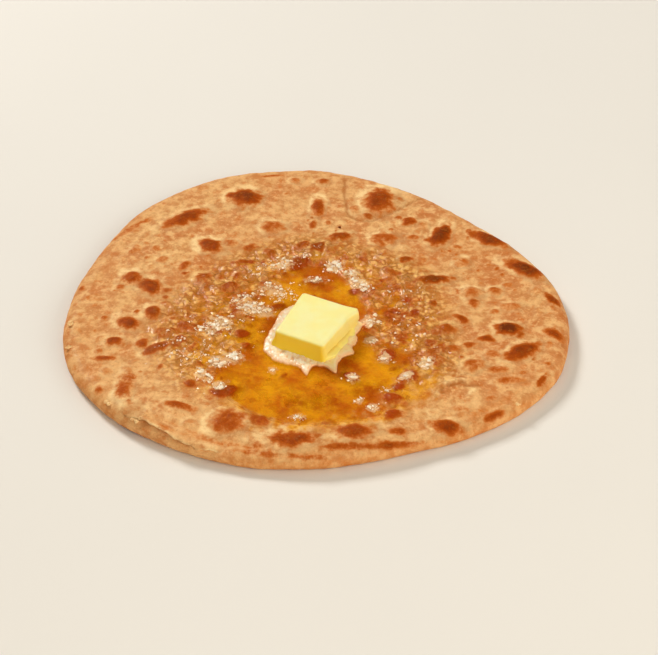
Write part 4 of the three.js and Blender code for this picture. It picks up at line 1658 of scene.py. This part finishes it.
def soaked_dough(tree, baked, browned, domes):
    oily = times(tree, field(tree, "wet"), span(tree, browned, 0.1, 0.5, 0.62, 0.0))
    soaked = mix(tree, oily, baked, OIL_TINT, "MULTIPLY")
    fresh = times(tree, field(tree, "fried"), span(tree, browned, 0.15, 0.5, 1.0, 0.3))
    soaked = mix(tree, times(tree, fresh, span(tree, domes, 0.74, 0.34, 0, 0.75)), soaked, VALLEY_TINT)
    # Pale tops of the domes: a painted highlight.
    return mix(tree, times(tree, fresh, span(tree, domes, 0.68, 0.95, 0, 0.62)), soaked, KNOB_HIGHLIGHT_TINT)


def lace(tree, place):
    """Where the thin film of froth shows."""
    broken = times(tree, fuzz(tree, place, 560, 3, 0.6), 1.6)
    broken = plus(tree, broken, times(tree, fuzz(tree, place, 1500, 2), 0.4))
    filmed = plus(tree, field(tree, "film"), less(tree, broken, 1.0))
    return span(tree, filmed, 0.3, 0.66, 0, 0.7)


print("domes are about", round(1000 / DOME_SCALE, 1), "mm apart and beads", round(1000 / BEAD_SCALE, 1))

# %% [markdown]
# ### Dough under the butter, and all of it together
# Under the pool the dough is amber, from clear gold to a burnt orange over the browned parts. The last
# layers are the film of froth, painted shade in folds and on blister flanks, and a fine grain. The bumps
# come from the same noises and domes as the colours, so that each speck is also a speck in relief.

# %% Dough under the butter, and all of it together
PAINTED_SHADE_TINT = colour(150, 80, 14)


def amber_dough(tree, grains, browned):
    return layered(tree, colour(246, 174, 0), [
        (grains.patchy, 0.38, 0.6, 1, (212, 108, 0)),
        (grains.middling, 0.5, 0.62, 0.5, (182, 80, 0)),
        (grains.flecks, 0.58, 0.72, 0.3, (250, 190, 8)),
        (browned, 0.1, 0.6, 1, (172, 64, 0)),
    ])


def dough_colour(tree, place):
    """The dough's colour, and the height of its bumps in millimetres, without and with its grain."""
    grains = dough_noises(tree, place)
    browned = browning(tree, grains)
    domes = bubble_domes(tree, place, DOME_SCALE)
    beads = bubble_domes(tree, place, BEAD_SCALE)
    soaked = soaked_dough(tree, baked_dough(tree, grains, browned), browned, domes)
    sunk = plus(tree, field(tree, "deep"), less(tree, grains.middling, 0.5))
    under = mix(tree, span(tree, sunk, 0.12, 0.7, 0, 0.92), soaked, amber_dough(tree, grains, browned))
    filmed = mix(tree, lace(tree, place), under, FILM_TINT)
    # Painted shade darkens the folds and the blisters' far flanks.
    creased_and_shaded = mix(tree, times(tree, field(tree, "painted_shade"), 0.5), filmed, PAINTED_SHADE_TINT)
    grained = mix(tree, 0.3, creased_and_shaded, span(tree, grains.fine, 0.25, 0.75, 0.76, 1.16), "MULTIPLY")
    bubbly = plus(tree, times(tree, domes, 0.5), times(tree, beads, 0.08))
    smooth = plus(tree, times(tree, grains.middling, 0.5), times(tree, bubbly, field(tree, "fried")))
    rough = plus(tree, times(tree, grains.flecks, 0.4), times(tree, grains.fine, 0.12))
    return grained, smooth, plus(tree, smooth, rough)


print("a fold's dark line as light:", [round(share, 3) for share in PAINTED_SHADE_TINT])

# %% [markdown]
# ### The crust's gloss
# Dry dough is dull and soaked dough shines. A clear coat over the dull dough gives both: its weight
# follows the wetness and fades on the browned spots. The coat has its own, smoother relief, so that it
# glints on the domes and not on every grain.

# %% The crust's gloss
def crust_finish():
    material, tree, shader, place = new_finish("griddled_dough")
    tint, smooth, rough = dough_colour(tree, place)
    wet = field(tree, "wet")
    unbrowned = span(tree, field(tree, "toast"), 0.12, 0.5, 1.0, 0.2)
    fill(tree, shader, {
        "Base Color": tint,
        "Roughness": span(tree, wet, 0.1, 0.8, 0.62, 0.45),
        "Specular IOR Level": 0.06,
        "Coat Weight": times(tree, span(tree, wet, 0.15, 0.8, 0.02, 0.6), unbrowned),
        "Coat Roughness": 0.04,
        "Normal": bump(tree, rough),
        "Coat Normal": bump(tree, smooth),
    })
    return material


dress(crust_finish(), bread, crumbs)

# %% [markdown]
# ## The butter's finish
# The pat is soft and satin and lets light in: its top is pale and its melting sides are a deeper yellow,
# with painted shade in the crack and a painted highlight on the face towards the light. Deeper colour could
# be left to the light that passes through, but that is slow to clear of speckle, so the painted fields
# give most of it and a little scattering softens it.

# %% The finish of the pat
def butter_finish():
    material, tree, shader, place = new_finish("soft_butter")
    cloudy = fuzz(tree, place, 120, 3)
    top = mix(tree, span(tree, cloudy, 0.35, 0.65), colour(255, 250, 182), colour(255, 245, 164))
    sides = layered(tree, top, [(field(tree, "melt"), 0.1, 0.9, 1, (255, 219, 60))])
    whole = mix(tree, times(tree, field(tree, "ledge"), 0.6), sides, colour(255, 234, 136))
    fill(tree, shader, {
        # The crack's darker tint is painted shade.
        "Base Color": layered(tree, whole, [(field(tree, "crack"), 0.2, 0.9, 0.5, (200, 156, 36))]),
        "Roughness": 0.34,
        "Specular IOR Level": 0.35,
        "Subsurface Weight": 0.3,
        "Subsurface Radius": (1.0, 0.75, 0.25),
        "Subsurface Scale": 0.002,
        "Normal": bump(tree, fuzz(tree, place, 380, 3), 0.0003, 0.25),
    })
    return material


dress(butter_finish(), pat)

# %% [markdown]
# ## The melted butter's finish
# Melted butter is a clear golden film over the stained dough. Glass would bend the light, which a thin
# film hardly does, and it renders with speckle. So the film is a plain glossy surface that is mostly
# see-through. It carries the dough's own colour, and more gold where it is deep, so its shore is soft.

# %% The finish of the melted butter
def melted_finish():
    material, tree, shader, place = new_finish("melted_butter")
    cloudy = span(tree, fuzz(tree, place, 90, 3), 0.38, 0.62)
    golden = mix(tree, cloudy, colour(240, 172, 0), colour(204, 104, 0))
    deep = span(tree, field(tree, "depth"), 0.0, 0.8, 0.1, 0.75)
    tint = mix(tree, deep, dough_colour(tree, place)[0], golden)
    fill(tree, shader, {
        "Base Color": mix(tree, lace(tree, place), tint, FILM_TINT),
        "Roughness": 0.08,
        "Specular IOR Level": 0.22,
        "Alpha": 0.4,
        "Normal": bump(tree, fuzz(tree, place, 260, 3), 0.0005, 0.4),
    })
    return material


dress(melted_finish(), pool)

# %% [markdown]
# ## The froth's finish
# Froth is milk solids and bubbles: a warm cream, yellower beside the slumped side of the pat and tan
# where it is thin. Real bubbles would need far more faces, so a fine bump stands for them, and a little
# scattered light makes them look moist. The ring and the flecks share the one finish.

# %% The finish of the froth
def froth_finish():
    material, tree, shader, place = new_finish("butter_froth")
    cloudy = fuzz(tree, place, 620, 3)
    milky = mix(tree, span(tree, cloudy, 0.35, 0.65), colour(255, 247, 226), colour(255, 224, 186))
    creamy = mix(tree, field(tree, "creamy"), milky, colour(250, 222, 156))
    fill(tree, shader, {
        "Base Color": mix(tree, times(tree, field(tree, "thin"), 0.75), creamy, colour(244, 176, 108)),
        "Roughness": 0.28,
        "Subsurface Weight": 0.15,
        "Subsurface Radius": (1.0, 0.7, 0.4),
        "Subsurface Scale": 0.0008,
        "Normal": bump(tree, fuzz(tree, place, 1300, 2), 0.0003, 0.5),
    })
    return material


dress(froth_finish(), froth, flecks)

# %% [markdown]
# ## The floor
# A pale floor runs out of sight, so that the bread stands on something and throws a shadow. One large
# square grid is enough.

# %% The floor
FLOOR_SIZE = 6.0


def floor_finish():
    material, tree, shader, place = new_finish("pale_floor")
    tone = mix(tree, fuzz(tree, place, 6, 2), colour(236, 234, 230), colour(232, 230, 226))
    fill(tree, shader, {"Base Color": tone, "Roughness": 0.8})
    return material


plane = bmesh.new()
bmesh.ops.create_grid(plane, x_segments=1, y_segments=1, size=FLOOR_SIZE / 2)
floor = bpy.data.objects.new("floor", mesh_from(plane, "floor"))
bpy.context.scene.collection.objects.link(floor)
dress(floor_finish(), floor)

# %% [markdown]
# ## The lights
# The main light is a small window lamp behind the bread and to the left, which gives the wet dough its
# glints and leaves the front of the rim in gentle shade. A wide weak lamp above, a low one at the right
# and a warm one in front fill the shade. One large lamp would be softer, but its glints would be wide and
# dull. The view transform is the plain one, so that a colour comes out as it was written.

# %% The lights
# Name, place in metres, width, depth, power in watts, colour
LAMPS = [
    ("window", (-0.855, 1.095, 1.02), 0.42, 0.42, 23.4, (1.0, 0.96, 0.9)),
    ("overhead", (0.0, -0.1, 1.4), 2.0, 2.0, 2.4, (1.0, 0.96, 0.9)),
    ("window_right", (0.9, -0.1, 0.46), 1.2, 0.8, 4.6, (1.0, 0.95, 0.86)),
    ("fill", (0.2, -0.9, 0.6), 1.8, 1.1, 9.8, (1.0, 0.9, 0.74)),
]
LIT_POINT = Vector((0, -0.02, 0.01))
SKY_COLOUR = (1.0, 0.86, 0.6, 1)
SKY_STRENGTH = 0.07


def add_lamp(name, place, width, depth, power, tint):
    lamp = bpy.data.lights.new(name, "AREA")
    lamp.shape = "RECTANGLE"
    lamp.size = width
    lamp.size_y = depth
    lamp.energy = power
    lamp.color = tint
    holder = bpy.data.objects.new(name, lamp)
    turned = (LIT_POINT - Vector(place)).to_track_quat("-Z", "Y")
    holder.matrix_world = Matrix.Translation(place) @ turned.to_matrix().to_4x4()
    bpy.context.scene.collection.objects.link(holder)


for row in LAMPS:
    add_lamp(*row)

sky = bpy.data.worlds.new("studio")
sky.use_nodes = True
fill(sky.node_tree, sky.node_tree.nodes["Background"], {"Color": SKY_COLOUR, "Strength": SKY_STRENGTH})
bpy.context.scene.world = sky
bpy.context.scene.view_settings.view_transform = "Standard"
print(len(LAMPS), "lamps")

# %% [markdown]
# ## The camera
# The camera looks down at forty degrees from well back, through a long lens, which keeps the far rim
# nearly as wide as the near one. It is aimed by its target: from there it stands back along one slanted
# line, so that its angle and its distance are each one number.

# %% The camera
ELEVATION = math.radians(40)
DISTANCE = 0.8
LENS = 111.4
CLIP_START = 0.01
TARGET = (4.685, -17.08, 8.0)

look_at = Vector([(TARGET[k] + (*SHIFT, 0)[k]) * MM for k in range(3)])
back = Vector((0, -math.cos(ELEVATION), math.sin(ELEVATION)))
lens = bpy.data.cameras.new("camera")
lens.lens = LENS
lens.clip_start = CLIP_START
camera = bpy.data.objects.new("camera", lens)
tilt = Matrix.Rotation(math.pi / 2 - ELEVATION, 4, "X")
camera.matrix_world = Matrix.Translation(look_at + DISTANCE * back) @ tilt
bpy.context.scene.collection.objects.link(camera)
bpy.context.scene.camera = camera
print("the camera stands at", [round(share, 3) for share in camera.matrix_world.translation])
